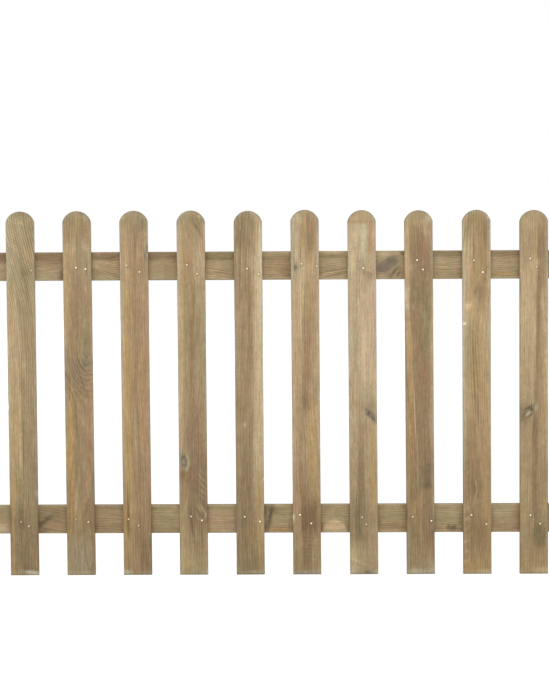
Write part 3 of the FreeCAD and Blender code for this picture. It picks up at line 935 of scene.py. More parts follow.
        "top_nails": [(-12.9, 2.6, 0.85), (18.6, -25.4, 0.75)],
        "bottom_nails": [(-7.4, 10.9, 1.0), (26.8, -2.5, 0.95)],
    },
    "picket_05": {
        "heart": [(0, -75, 50), (1150, -55, 50)], "figure": 0.2,
        "figures": [figure(-46, 10, 0.25, (960, 1200))],
        "bleached": (0.3, 0.85), "shift": 0.4, "lean": -0.19, "longer": 0.7, "base": tone(157, 136, 105),
        "marks": [
            band(13, 70, PALE, 0.6, 6, (330, 1130), lean=9),
            band(20, 70, CREAM, 0.55, 7, (300, 1000), lean=9), band(4, 16, PALE, 0.5, 4, (520, 640)),
            band(12, 70, PALE, 0.5, 5, (160, 340)), band(24, 34, GOLD, 0.3, 3, (1040, 1140)),
            band(22, 50, CREAM, 0.25, 4, (1020, 1150)),
            band(35, 50, tone(220, 206, 174), 0.75, 3, (760, 1120)), stain(8, 990, 10, 36, PALE, 0.6),
            *[stain(-28, along, 14, 2.4, PALE, 0.3, 8) for along in range(640, 835, 10)],
            stain(22, 265, 2, 10, CREAM, 0.5), stain(-10, 820, 3, 26, PALE, 0.3),
            stain(-18, 1000, 4, 26, PALE, 0.4), stain(-32, 1058, 12, 40, OLIVE, 0.5),
            stain(-14, 1090, 4, 50, OLIVE, 0.4), stain(-22, 1125, 16, 14, BROWN, 0.4),
            band(2, 9, BROWN, 0.5, 3, (660, 930)), stain(-1, 920, 7, 36, BROWN * 0.9, 0.5),
            stain(-43, 936, 7, 28, BROWN * 0.8, 0.9), stain(-14, 680, 9, 36, BROWN, 0.35),
            stain(28, 1128, 8, 9, CREAM, 0.5), stain(21, 856, 8, 34, TAN, 0.4),
            stain(-36, 818, 8, 28, PALE, 0.4), stain(-6, 30, 22, 16, TAN, 0.4),
            stain(36, 14, 9, 12, tone(190, 182, 162), 0.5), stain(14, 1104, 6, 30, BROWN * 0.9, 0.4),
            band(-26, 5, PLUM, 0.4, 6, (170, 330)), band(18, 50, GOLD, 0.5, 5, (160, 300)),
            band(24, 50, tone(206, 180, 138), 0.6, 4, (60, 165)),
            stain(-14, 160, 13, 46, tone(124, 116, 90), 0.5),
            stain(8, 130, 22, 26, tone(168, 134, 88), 0.5), stain(32, 80, 12, 60, GOLD, 0.5),
            band(-50, 50, OLIVE, 0.25, 8, (-100, 90)), stain(-15, 476, 3, 6, CREAM, 0.7),
            stain(41, 464, 7, 36, tone(230, 214, 188), 0.4), stain(18, 202, 15, 20, BROWN, 0.4),
            stain(-30, 1034, 10, 26, TAN, 0.45), stain(-42, 937, 6, 22, BROWN * 0.8, 0.4),
            stain(40, 890, 6, 80, tone(232, 214, 178), 0.4), stain(-38, 992, 5, 16, BROWN, 0.4),
            stain(-2, 606, 11, 50, BROWN, 0.4), stain(20, 9, 24, 3, tone(182, 174, 156), 0.45),
            stain(-34, 16, 10, 20, SAGE, 0.7), stain(-18, 5, 18, 3, SLATE, 0.3),
        ],
        "knots": [], "chips_and_highlights": [], "nicks": [(RIGHT, 302, 1.2, 5)],
        "top_nails": [(-3.7, -9.9, 1.0), (33.3, -28.3, 0.85)],
        "bottom_nails": [(-17.8, 9, 0.85), (30.3, -6.5, 1.2)],
    },
    "picket_06": {
        "heart": [(0, 90, 45), (500, 75, 45), (1150, 85, 45)], "figure": 0.25, "figures": [],
        "bleached": (0.85, 0.7), "shift": -0.7, "lean": -0.22, "longer": 3.0, "base": tone(173, 149, 114),
        "marks": [
            band(-50, -18, SAGE, 0.6, 5, (985, 1200)), stain(-26, 1125, 16, 16, tone(206, 190, 156), 0.7),
            band(-30, -18, CREAM, 0.5, 4, (980, 1110)), band(8, 32, BROWN, 0.75, 5, (1000, 1125)),
            stain(4, 1125, 7, 8, tone(196, 148, 132), 0.75),
            stain(22, 1102, 9, 24, tone(160, 122, 90), 0.5), stain(40, 1050, 4, 50, ROSE, 0.5),
            stain(40, 1016, 5, 36, tone(166, 144, 108), 0.5), stain(8, 1144, 9, 4, GOLD, 0.6),
            band(-9, -3, CREAM, 0.4, 1.5, (840, 1000)), stain(15, 1040, 7, 26, OLIVE, 0.65),
            band(-6, 22, PALE, 0.5, 5, (930, 1010)), band(-26, -2, CREAM, 0.25, 4, (840, 1010)),
            band(-3, 13, MOSS, 0.45, 4, (820, 940)), band(18, 36, ROSE, 0.35, 4, (800, 960)),
            band(-15, -12, CREAM, 0.8, 1.2, (725, 960)), band(-46, -16, PALE, 0.5, 4, (660, 860)),
            band(-46, -16, PALE, 0.3, 4, (540, 700)), band(-40, -20, ROSE, 0.25, 5, (590, 780)),
            band(-5, 15, tone(146, 108, 86), 0.5, 4, (590, 800)), stain(-3, 548, 8, 38, UMBER, 0.55),
            stain(6, 556, 18, 24, BROWN, 0.4), stain(-4, 552, 24, 26, BROWN * 0.95, 0.4),
            stain(-12, 262, 6, 44, BROWN, 0.5), band(10, 40, GOLD, 0.4, 5, (240, 540)),
            band(-50, -34, PALE, 0.5, 4, (350, 560)), band(-20, -15, OLIVE, 0.55, 2, (290, 460)),
            band(-46, -18, ROSE, 0.35, 4, (120, 500)),
            band(-15, 34, tone(116, 95, 70), 0.6, 2, (128, 214), fade=14),
            band(-15, 50, tone(122, 97, 70), 0.45, 2, (132, 238), fade=18),
            stain(-9, 244, 7, 44, tone(116, 92, 66), 0.4),
            stain(43, 152, 7, 22, tone(178, 148, 116), 0.65),
            band(34, 60, tone(168, 138, 108), 0.5, 3, (128, 240), fade=22),
            stain(18, 112, 9, 32, BROWN * 0.9, 0.45), stain(-7, 620, 6, 60, BROWN, 0.45),
            stain(42, 556, 5, 18, TAN * 0.9, 0.9), stain(-33, 430, 9, 50, PALE, 0.5),
            stain(10, 420, 7, 60, tone(196, 170, 130), 0.5),
            stain(40, 32, 6, 36, tone(186, 178, 156), 0.5),
            band(-12, 16, tone(128, 102, 76), 0.65, 4, (20, 150)), stain(-32, 40, 12, 38, MOSS, 0.5),
            stain(33, 45, 12, 34, MOSS, 0.35),
            *[stain(16, along, 20, 2.4, PALE, 0.22, -8) for along in range(50, 125, 12)],
            stain(-31, 972, 18, 17, tone(168, 162, 134), 0.5),
            stain(-31, 973, 13, 7, tone(98, 97, 82), 0.8), stain(-31, 972, 7, 12, tone(92, 91, 76), 0.8),
            stain(-41, 996, 7, 22, tone(138, 128, 104), 0.7), stain(-33, 950, 9, 7, SAGE * 1.1, 0.5),
            stain(-35, 904, 8, 30, CREAM, 0.45), stain(-12, 985, 7, 7, tone(206, 180, 148), 0.5),
            stain(22, 500, 24, 16, PALE, 0.4), stain(25, 985, 6, 62, tone(212, 182, 142), 0.4),
            stain(8, 276, 26, 34, PLUM, 0.3), stain(-32, 9, 10, 8, tone(120, 112, 98), 0.4),
            stain(42, 556, 5, 18, TAN * 0.75, 0.4), stain(38, 1022, 6, 44, BROWN, 0.35),
            stain(-40, 278, 6, 30, tone(196, 176, 146), 0.4),
            stain(-20, 971, 6, 12, tone(208, 190, 154), 0.4),
            stain(-1, 980, 6, 32, tone(216, 190, 146), 0.4), stain(40, 510, 6, 17, BROWN, 0.35),
            stain(32, 9, 12, 7, tone(190, 182, 162), 0.5), stain(-8, 6, 30, 4, tone(140, 134, 130), 0.6),
        ],
        "knots": [],
        # The chip here is a painted highlight on the rolled left edge.
        "chips_and_highlights": [stain(-42, 181, 2.2, 12, tone(255, 246, 216), 0.9)],
        "nicks": [(RIGHT, 558, 0.7, 6)],
        "top_nails": [(-10.8, 4.2, 0.8), (37.1, -2.9, 0.95)],
        "bottom_nails": [(-21.4, 14.8, 1.4), (13.6, -13, 1.0)],
    },
    "picket_07": {
        "heart": [(0, -90, 60), (1150, -80, 60)], "figure": 0.15, "figures": [],
        "bleached": (0.5, 0.6), "shift": -0.7, "lean": -0.3, "longer": 1.2, "base": tone(187, 167, 136),
        "marks": [
            stain(-10, 1072, 30, 44, tone(206, 191, 162), 0.6),
            band(-50, 15, tone(186, 158, 121), 0.85, 2, (1109, 1300), fade=1.5),
            band(-8, 12, tone(202, 192, 160), 0.5, 5, (985, 1108), fade=12),
            stain(-15, 1062, 7, 42, TAN, 0.4), band(15, 50, HONEY, 0.25, 3, (1000, 1135)),
            band(15, 50, ROSE, 0.45, 3, (1000, 1135)), stain(-30, 985, 9, 30, tone(212, 196, 146), 0.7),
            stain(-4, 980, 14, 26, BROWN, 0.4), stain(8, 955, 10, 8, UMBER, 0.3),
            stain(26, 968, 11, 16, TAN, 0.5), stain(29, 960, 2, 14, tone(218, 172, 142), 0.9, 59),
            stain(41, 945, 2, 12, tone(206, 160, 128), 0.7, 28),
            stain(27, 951, 2, 13, BROWN * 0.85, 0.6, 60),
            *[stain(across, along, 2, 3, UMBER, 0.4)
              for across, along in ((-9, 966), (-16, 978), (-8, 988), (-19, 999), (-13, 990), (10, 955))],
            stain(34, 960, 3, 16, HONEY, 0.4, 52), stain(26, 943, 16, 13, BROWN, 0.6),
            band(-24, -15, MOSS, 0.35, 4, (650, 820)), band(-2, 10, CREAM, 0.5, 5, (590, 820)),
            band(30, 50, ROSE, 0.35, 5, (600, 930)), band(8, 40, tone(206, 176, 148), 0.4, 8, (600, 930)),
            band(-20, -4, TAN, 0.6, 4, (520, 610)), stain(0, 1116, 40, 4, tone(176, 138, 104), 0.5),
            stain(0, 1132, 40, 8, PALE, 0.45), stain(-28, 1126, 11, 9, tone(200, 184, 156), 0.5),
            stain(-42, 180, 6, 36, OLIVE, 0.5), stain(-41, 60, 6, 24, CREAM, 0.65),
            stain(-40, 1052, 8, 24, TAN, 0.45), stain(6, 536, 7, 16, BROWN, 0.45),
            stain(20, 560, 24, 35, SAGE, 0.6), band(-50, 50, TAN, 0.6, 6, (-100, 450)),
            stain(12, 465, 16, 26, BROWN, 0.4), band(-16, -3, BROWN, 0.5, 3, (330, 520)),
            band(-19, 4, tone(124, 102, 78), 0.55, 4, (200, 370)),
            band(-26, -5, tone(112, 98, 76), 0.6, 4, (95, 225)),
            band(-50, 14, tone(136, 118, 86), 0.45, 5, (95, 225)), stain(32, 270, 8, 70, ROSE, 0.35),
            band(20, 46, GOLD, 0.5, 5, (200, 480)), stain(-28, 62, 18, 34, tone(204, 188, 146), 0.7),
            stain(-25, 44, 3, 20, CREAM, 0.6, 68), stain(4, 32, 3, 22, CREAM, 0.4, 75),
            stain(-28, 26, 3, 14, CREAM, 0.35, 65), stain(-38, 60, 8, 24, tone(220, 208, 176), 0.35),
            stain(28, 192, 10, 46, BROWN, 0.35), stain(7, 124, 11, 28, BROWN * 0.85, 0.4),
            stain(-8, 452, 13, 40, BROWN, 0.35), stain(-27, 1004, 8, 24, tone(224, 206, 170), 0.4),
            stain(-40, 840, 5, 48, BROWN, 0.35), stain(-38, 178, 6, 44, BROWN * 0.8, 0.35),
            stain(-35, 11, 11, 13, tone(206, 198, 170), 0.65),
            stain(14, 6, 15, 6, tone(70, 68, 66), 0.95), stain(30, 545, 6, 22, MOSS, 0.5),
            stain(8, 500, 6, 10, tone(190, 172, 150), 0.4), stain(20, 526, 18, 16, BROWN, 0.4),
            stain(-30, 536, 14, 44, TAN, 0.5), stain(22, 494, 5, 10, tone(186, 168, 150), 0.4, 40),
            stain(18, 512, 10, 9, tone(98, 87, 84), 0.95, 30),
            stain(11, 522, 4, 7, tone(104, 92, 86), 0.75, 35),
            stain(31, 494, 4.5, 22, tone(104, 92, 84), 0.9, 46),
            stain(41, 491, 6, 15, tone(112, 102, 92), 0.85, 40),
            stain(42, 500, 4, 22, tone(118, 110, 96), 0.6),
            stain(42, 482, 5, 12, tone(110, 100, 90), 0.8, 35),
            stain(34, 506, 4, 13, tone(114, 102, 88), 0.8, 54),
        ],
        "knots": [], "chips_and_highlights": [], "nicks": [],
        "top_nails": [(3.7, -10.2, 1.0)],
        "bottom_nails": [(-5.9, 6.0, 0.75), (7.2, -16.4, 0.7)],
    },
    "picket_08": {
        "heart": [(0, 75, 38), (1150, 65, 38)], "figure": 0.2, "figures": [],
        "bleached": (0.2, 0.35), "shift": -1.6, "lean": -0.35, "longer": 0.0, "base": tone(151, 128, 98),
        "marks": [
            band(-50, 50, tone(182, 158, 118), 0.55, 6, (1085, 1300)),
            stain(32, 1126, 13, 14, tone(198, 186, 158), 0.6),
            band(-70, -31, tone(192, 167, 122), 0.8, 2.5, (840, 1120)),
            band(-31, -13.4, tone(186, 157, 114), 0.8, 1.5, (545, 850), lean=-64, fade=15),
            band(-70, -13, tone(170, 140, 98), 0.6, 4, (290, 560)),
            band(-20, 25, PLUM, 0.3, 6, (990, 1085)), stain(18, 1030, 16, 36, tone(154, 118, 90), 0.5),
            stain(16, 1120, 14, 20, PALE, 0.5), stain(12, 625, 14, 50, tone(152, 114, 86), 0.4),
            stain(-5, 1122, 7, 12, SAGE, 0.5), stain(24, 1090, 6, 40, PALE, 0.65),
            band(5, 36, MOSS * 0.9, 0.5, 6, (690, 850)), band(-22, 20, OLIVE, 0.4, 6, (840, 930)),
            stain(-39, 872, 6, 34, tone(204, 192, 158), 0.8),
            stain(-38, 848, 5, 9, tone(214, 206, 178), 0.8), stain(-18, 845, 4, 8, SAGE, 0.5),
            stain(-17, 892, 6, 8, SAGE, 0.35), stain(16, 822, 8, 10, SAGE, 0.4),
            band(-14, -11, CREAM, 0.6, 1.2, (440, 560)), band(-9, -6, CREAM, 0.5, 1.1, (300, 440)),
            stain(-1, 385, 7, 48, BROWN * 0.9, 0.5), stain(-26, 385, 8, 8, ROSE, 0.5),
            stain(20, 318, 22, 38, tone(120, 101, 84), 0.65),
            stain(20, 283, 14, 12, tone(104, 92, 68), 0.65), stain(-6, 287, 7, 18, MOSS, 0.6),
            band(-50, -24, OLIVE, 0.25, 8, (260, 330)), stain(-22, 205, 12, 40, GOLD, 0.4),
            band(0, 6, GOLD, 0.55, 2, (90, 260)), band(38, 50, PALE, 0.4, 3, (200, 900)),
            stain(-28, 75, 18, 40, MOSS, 0.5), stain(-40, 62, 8, 56, SAGE, 0.55),
            stain(26, 110, 12, 36, tone(140, 102, 74), 0.5), stain(-36, 88, 4, 8, SAGE, 0.6),
            stain(36, 130, 7, 10, UMBER, 0.4), band(-50, 50, TAN, 0.35, 6, (-100, 140)),
            stain(24, 36, 16, 22, PALE, 0.5), stain(15, 66, 8, 30, ROSE, 0.4),
            stain(-6, 9, 50, 13, tone(188, 184, 154), 0.75),
            stain(42, 20, 6, 22, tone(196, 192, 172), 0.6), stain(42, 250, 5, 26, PALE, 0.6),
            stain(38, 728, 6, 54, PALE, 0.5), stain(-32, 628, 10, 44, BROWN, 0.35),
            stain(-24, 738, 5, 22, tone(196, 164, 122), 0.5), stain(-42, 70, 5, 60, SAGE, 0.5),
            stain(2, 712, 7, 70, BROWN * 0.85, 0.45), stain(-10, 1116, 6, 14, tone(196, 170, 130), 0.6),
            stain(-42, 1124, 5, 10, BROWN, 0.45), stain(-38, 268, 7, 56, PALE, 0.35),
            stain(-4, 42, 9, 28, PALE, 0.4), stain(38, 476, 8, 26, tone(208, 190, 166), 0.4),
            stain(-28, 966, 14, 17, tone(216, 190, 158), 0.35), stain(-41, 62, 6, 56, SAGE, 0.3),
            stain(-3, 226, 9, 20, tone(196, 168, 126), 0.4),
            stain(32, 50, 8, 22, tone(190, 172, 140), 0.4),
        ],
        "knots": [], "chips_and_highlights": [], "nicks": [(LEFT, 197, 2.2, 8)],
        "top_nails": [(-5.4, 14.2, 1.2), (13.2, -15.4, 1.05)],
        "bottom_nails": [(-24.8, 7.6, 0.8), (34, -6, 1.05)],
    },
    "picket_09": {
        "heart": [(0, -60, 40), (800, -75, 40), (1150, -65, 40)], "figure": 0.25,
        "figures": [figure(-46, 46, 0.3, (1030, 1200)), figure(-20, 20, 0.3, (480, 800))],
        "bleached": (0.9, 0.7), "shift": -1.0, "lean": -0.2, "longer": 0.3, "base": tone(172, 148, 111),
        "marks": [
            band(-42, -20, PALE, 0.6, 5, (890, 1065)), band(-20, -8, PALE, 0.5, 4, (970, 1065)),
            band(-50, 50, OLIVE, 0.25, 6, (1070, 1300)), stain(-8, 1072, 8, 26, PALE, 0.4),
            stain(18, 1104, 8, 26, BROWN, 0.5), stain(-41, 1124, 7, 12, BROWN, 0.5),
            stain(41, 1114, 5, 16, tone(196, 186, 168), 0.5), stain(-41, 735, 5, 46, CREAM, 0.5),
            stain(-28, 800, 12, 54, CREAM, 0.3), stain(-5, 1000, 8, 22, PALE, 0.5),
            band(20, 31, tone(128, 110, 98), 0.6, 3, (1040, 1115)),
            band(-9, -7, UMBER, 0.65, 1.2, (990, 1100)),
            band(13, 33, tone(156, 129, 86), 0.6, 4, (930, 1050)), stain(-4, 892, 8, 18, BROWN, 0.6),
            stain(-4, 893, 3, 8, UMBER, 0.4), stain(14, 890, 12, 46, BROWN, 0.55),
            stain(-30, 868, 14, 10, tone(190, 164, 112), 0.5), stain(-36, 815, 12, 60, PALE, 0.6),
            stain(-30, 797, 5, 4, CREAM, 0.5), stain(-21, 800, 2, 9, BROWN, 0.5),
            stain(-24, 778, 10, 12, SAGE, 0.5), stain(-6, 790, 7, 50, PALE, 0.45),
            band(-28, -20, OLIVE, 0.5, 3, (635, 785)), stain(-30, 659, 8, 9, MOSS, 0.6),
            band(-46, -20, PALE, 0.35, 6, (480, 830)), band(12, 44, PALE, 0.4, 6, (690, 840)),
            band(-34, 12, MOSS, 0.2, 5, (600, 780)), band(-10, 10, BROWN, 0.35, 6, (480, 800)),
            band(4, 7, UMBER, 0.5, 1.2, (480, 640)), band(-50, -5, BROWN, 0.5, 8, (230, 480)),
            band(-50, -36, PALE, 0.5, 4, (370, 530)), band(5, 20, ROSE, 0.3, 5, (330, 560)),
            band(20, 30, GOLD, 0.6, 4, (160, 480)), stain(-5, 280, 13, 40, UMBER, 0.55),
            stain(-40, 205, 6, 20, PALE, 0.5), stain(34, 330, 10, 54, BROWN, 0.4),
            stain(-8, 350, 14, 70, BROWN, 0.4), stain(10, 274, 9, 50, BROWN, 0.5),
            stain(-5, 288, 1.6, 14, CREAM, 0.75, 10), stain(-1, 264, 1.6, 9, CREAM, 0.75, -8),
            stain(-7, 242, 1.8, 18, CREAM, 0.6, -4), band(-30, 20, BROWN, 0.4, 8, (60, 230)),
            *[stain(-35, along, 10, 3.5, CREAM, 0.55, 26) for along in (208, 174, 104, 72, 42)],
            *[stain(-33, along, 10, 4, BROWN * 0.9, 0.5, 26)
              for along in (356, 330, 308, 290, 190, 156, 132)],
            stain(-6, 150, 12, 40, UMBER, 0.3), stain(24, 132, 9, 50, tone(138, 108, 76), 0.5),
            band(-50, 50, GOLD, 0.35, 5, (-100, 38)), stain(32, 8, 12, 5, tone(186, 176, 150), 0.5),
            stain(8, 582, 11, 48, tone(192, 164, 124), 0.45),
            stain(40, 770, 7, 36, tone(220, 204, 174), 0.4),
            stain(-44, 790, 4, 90, tone(222, 208, 180), 0.35),
        ],
        "knots": [],
        "chips_and_highlights": [
            stain(38, 1127, 5, 6, tone(216, 206, 186), 0.7),
            stain(-27, 845, 7, 15, tone(222, 198, 154), 0.8, -38),
            stain(-30, 850, 10, 5, tone(222, 198, 156), 0.7),
            # This last one is a painted highlight near the left edge.
            stain(-39, 793, 6, 4.5, tone(255, 248, 226), 0.9),
        ],
        "nicks": [],
        "top_nails": [(-8.4, 12.3, 0.8), (19.2, -24.7, 1.3)],
        "bottom_nails": [(-19, 12.2, 0.95), (28.2, -17.2, 0.9)],
    },
    "picket_10": {
        "heart": [(0, 115, 30), (1150, 105, 30)], "figure": 0.25, "figures": [],
        "bleached": (0.25, 0.5), "shift": -1.3, "lean": -0.11, "longer": -1.2, "base": tone(170, 148, 114),
        "marks": [
            band(-50, 0, PALE, 0.6, 4, (560, 960), lean=33), band(-50, 50, ROSE, 0.2, 6, (1060, 1300)),
            stain(-16, 1115, 20, 26, PALE, 0.6), band(-2, 28, BROWN, 0.35, 2, (430, 1115), lean=33),
            band(-2, 9, BROWN * 0.95, 0.75, 1.8, (430, 1115), lean=33),
            band(-7, 11, BROWN * 0.8, 0.6, 3, (165, 500)),
            band(18, 60, BROWN * 0.95, 0.5, 5, (930, 1115)), stain(-10, 968, 16, 28, PALE, 0.5),
            stain(1, 978, 17, 19, tone(206, 182, 148), 0.5), stain(41, 466, 6, 28, TAN * 0.9, 0.7),
            stain(-41, 975, 6, 40, TAN, 0.5), stain(39, 580, 5, 28, CREAM, 0.4),
            stain(40, 860, 5, 36, CREAM, 0.4), stain(3, 538, 7, 12, SAGE, 0.45),
            band(22, 50, GOLD, 0.3, 5, (420, 700)), band(24, 50, PALE, 0.5, 5, (690, 890)),
            band(-42, 4, TAN, 0.45, 6, (570, 720)), stain(30, 315, 14, 80, BROWN, 0.4),
            stain(-28, 590, 12, 70, TAN, 0.5), stain(-12, 545, 12, 16, SAGE, 0.55),
            stain(6, 526, 5, 12, tone(196, 184, 156), 0.65, -20),
            stain(-22, 512, 15, 26, tone(118, 106, 82), 0.65, -48), stain(-41, 514, 7, 34, OLIVE, 0.65),
            stain(-22, 484, 8, 22, OLIVE, 0.55), stain(-26, 535, 12, 16, BROWN, 0.5),
            stain(-7, 521, 7, 5.5, tone(82, 78, 58), 0.95),
            stain(-19, 526, 4.5, 15, tone(86, 78, 60), 0.9, -60),
            stain(-31, 506, 3.5, 11, UMBER, 0.65, -35), stain(-14, 502, 2.5, 15, UMBER, 0.8, -49),
            stain(-19, 508, 4, 11, tone(198, 190, 174), 0.8, -50),
            stain(-37, 492, 5, 16, OLIVE * 0.8, 0.65, -35),
            stain(14, 130, 20, 60, tone(128, 110, 78), 0.5),
            band(-3, 36, tone(116, 103, 72), 0.55, 4, (80, 156), fade=14),
            stain(-3, 168, 2, 22, CREAM, 0.5), band(-50, 50, GOLD, 0.3, 5, (-100, 60)),
            stain(20, 13, 22, 9, tone(200, 184, 146), 0.65),
            stain(18, 10, 17, 9, tone(214, 202, 172), 0.3),
            stain(-30, 290, 12, 80, tone(200, 174, 132), 0.4), stain(-8, 238, 9, 46, TAN, 0.5),
            stain(-38, 624, 8, 38, tone(150, 124, 88), 0.3), stain(41, 470, 5, 26, BROWN, 0.45),
            stain(20, 1116, 9, 20, tone(196, 174, 140), 0.4),
            stain(-22, 850, 9, 66, tone(216, 194, 156), 0.35),
        ],
        "knots": [], "chips_and_highlights": [], "nicks": [],
        "top_nails": [(-12.1, 17.7, 1.0), (8.2, -8.6, 0.75)],
        "bottom_nails": [(-11.8, 10.8, 0.9), (19, -16.1, 0.75)],
    },
}

CROWN_RISE = 34.0
CROWN_BLEND = 60.0


def crown_radius(half):
    """Radius of the crown's arc, from its rise and half the picket's width."""
    return (half * half + CROWN_RISE * CROWN_RISE) / (2 * CROWN_RISE)


def crown_top(across, half, long):
    """Height of the picket's outline at that place across: the arc of its crown."""
    radius = crown_radius(half)
    return long - radius + np.sqrt(radius * radius - np.minimum(np.abs(across), half) ** 2)


def edge_distance(across, along, half, long):
    """Distance from the picket's outline, along its sides and round its crown."""
    radius = crown_radius(half)
    to_arc = radius - np.hypot(across, np.maximum(along - (long - radius), 0))
    return np.maximum(np.minimum(half - np.abs(across), to_arc), 0)


def rail_middle(name):
    """Height of a rail's centre line, in millimetres."""
    low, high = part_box(name)
    return (low.z + high.z) / 2 / MM


def stand(across, along, plan, long):
    """Lean a place on the picket about its middle, and shift it, the way the picket was nailed up."""
    slope = math.radians(plan["lean"])
    return across + plan["shift"] + slope * (along - long / 2), along - slope * across


NICK_REACH = 9.0
NICK_STEEP = 4


def nick_edges(board, nicks, half):
    """Push an edge in where it was knocked: its side, place along, depth and half length."""
    for side, along, deep, long in nicks:
        near = np.clip(1 - (half - side * board["across"]) / NICK_REACH, 0, 1)
        bite = deep * np.exp(-((board["along"] - along) / long) ** NICK_STEEP)
        board["across"] = board["across"] - side * near * bite


BLEACH_RISE = (60, 560)
BLEACH_REACH = 9
DARKENING_TOP = 760.0
DARKENING_AT_FOOT = np.array([0.8, 0.8, 0.77])
CROWN_START = 70
CROWN_FULL = 15
CROWN_MOSS = 0.2
CROWN_EDGE = 0.45
CROWN_EDGE_REACH = 3.5
CROWN_EDGE_TONE = EDGE_TONE * 0.4
FOOT_PALE = tone(176, 168, 146)
FOOT_PALE_SHARE = 0.3
FOOT_PALE_VARIES = 0.25
FOOT_PALE_SPACING = (40,)
FOOT_PALE_PLACE = 8
FOOT_PALE_REACH = 5
FOOT_GREY = tone(112, 105, 94)
FOOT_GREY_SHARE = 0.55
FOOT_GREY_REACH = 3


def weather_picket(board, plan, from_edge, long, seed):
    """Bleach the rolled edges but not low down, darken the lower part more towards the foot, and grey the
    crown and foot.
    """
    along = board["along"]
    bleached = np.where(board["across"] < 0, *plan["bleached"])
    blend(board, bleached * rise(along, *BLEACH_RISE) * fading(from_edge, BLEACH_REACH), EDGE_TONE)
    # Darker towards the foot, from this height down.
    darkening = (1 - rise(along, 0, DARKENING_TOP))[:, None]
    board["tint"] = board["tint"] * (1 - darkening * (1 - DARKENING_AT_FOOT))
    crown = rise(along, long - CROWN_START, long - CROWN_FULL)
    blend(board, CROWN_MOSS * crown, MOSS)
    blend(board, CROWN_EDGE * crown * fading(from_edge, CROWN_EDGE_REACH), CROWN_EDGE_TONE)
    varies = FOOT_PALE_VARIES * ripple([board["across"]], FOOT_PALE_SPACING, seed + 8)
    worn = np.clip(FOOT_PALE_SHARE + varies, 0, 1)
    blend(board, worn * fading(along - FOOT_PALE_PLACE, FOOT_PALE_REACH), FOOT_PALE)
    blend(board, FOOT_GREY_SHARE * fading(along, FOOT_GREY_REACH), FOOT_GREY)


DIMPLE_WIDE = 4.5
DIMPLE_DEEP = 0.7
# Painted shade in each nail's dent, and a painted shadow below each nail on its right.
DENT_SHADE = 0.3
DENT_SHADE_REACH = 6.0
NAIL_SHADOW = 0.35
NAIL_SHADOW_ASIDE = 3.5
NAIL_SHADOW_BELOW = 4.5
NAIL_SHADOW_REACH = 3


def drive_nails(board, places, front):
    """Dent the face round each nail, with painted shade in the dent and a painted shadow below it on its
    right.
    """
    for across, along in places:
        away = np.hypot(board["across"] - across, board["along"] - along)
        right = board["across"] - (across + NAIL_SHADOW_ASIDE)
        up = board["along"] - (along - NAIL_SHADOW_BELOW)
        board["depth"] = board["depth"] + front * DIMPLE_DEEP * fading(away, DIMPLE_WIDE)
        # Painted shade in the dent, then the painted shadow below the nail.
        blend(board, DENT_SHADE * front * fading(away, DENT_SHADE_REACH), UMBER)
        blend(board, NAIL_SHADOW * front * fading(np.hypot(right, up), NAIL_SHADOW_REACH), UMBER)


def make_picket(name, plan, seed):
    """Model one picket over its node, and dress it."""
    low, high = (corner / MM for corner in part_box(name))
    wide, thick, long = high - low
    half = wide / 2
    edge = arris_lines(PICKET_ARRIS)
    columns = grid_lines(wide, PICKET_STEP_ACROSS, edge, edge) - half
    rows = grid_lines(long, PICKET_STEP_ALONG, np.array([0, SAWN_LIP]), edge)
    mesh = board_mesh(name + "_board", columns, rows, thick)
    across, depth, along = places_of(mesh)
    start = long - CROWN_RISE - CROWN_BLEND
    reach = long + plan["longer"]
    stretch = (crown_top(across, half, reach) - start) / (long - start)
    along = np.where(along > start, start + (along - start) * stretch, along)
    from_edge = edge_distance(across, along, half, reach)
    board = {"across": across, "along": along}
    board["depth"] = round_over(depth, thick, from_edge, PICKET_ARRIS)
    lay_grain(board, plan, seed)
    paint(board, plan)
    weather_picket(board, plan, from_edge, long, seed)
    # Chips of fresh wood and painted highlights, laid on over the bleached edges.
    lay_marks(board, plan["chips_and_highlights"])
    weather_face(board, thick, plan["knots"], seed)
    nails = []
    for row, rail in NAILED_TO.items():
        nails += [(place, rail_middle(rail) - low.z + up) for place, up, _ in plan[row]]
    drive_nails(board, nails, np.clip(1 - depth / thick * 2, 0, 1))
    nick_edges(board, plan["nicks"], half)
    board["across"], board["along"] = stand(board["across"], board["along"], plan, long)
    corner = ((low.x + high.x) / 2 * MM, low.y * MM, low.z * MM)
    finish_board(mesh, board, PICKET_TURN, corner, GRAIN_OFFSET * seed)
    mesh.materials.append(PICKET_PINE)
    picket = set_out(name + "_pine", mesh)
    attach(picket, "root")
    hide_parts(name)


for number, (picket_name, picket_plan) in enumerate(PICKETS.items()):
    make_picket(picket_name, picket_plan, FIRST_SEED + number)

# The nails: bright zinc-plated wire nails, one or two through each picket into each rail.
# Their flat heads are driven almost flush, each in a dent and a little off square. How bright each head's
# plating is set is partly its own dulling and partly painted reflection.
HEAD_RADIUS = 3.0
HEAD_TALL = 1.8
HEAD_PROUD = 0.35
HEAD_SIDES = 18
HEAD_EDGE = 0.5
HEAD_EDGE_STEPS = 2
NAIL_TILT = 5.0
NAIL_SEEDS = {"top_nails": 3, "bottom_nails": 5}
SPANGLE_SCALE = 1400.0
SPANGLE_TONES = [(0.1, 1.06), (0.8, 0.9)]
SHINE_SCALE = 0.64
PLATING = [(0.21, (0.36, 0.29, 0.19)), (0.7, (0.82, 0.69, 0.49)), (0.95, (1.0, 0.9, 0.72))]
STEEL_ROUGH = {"To Min": 0.3, "To Max": 0.48}
STEEL_BUMP = {"Strength": 0.2, "Distance": 0.0001}


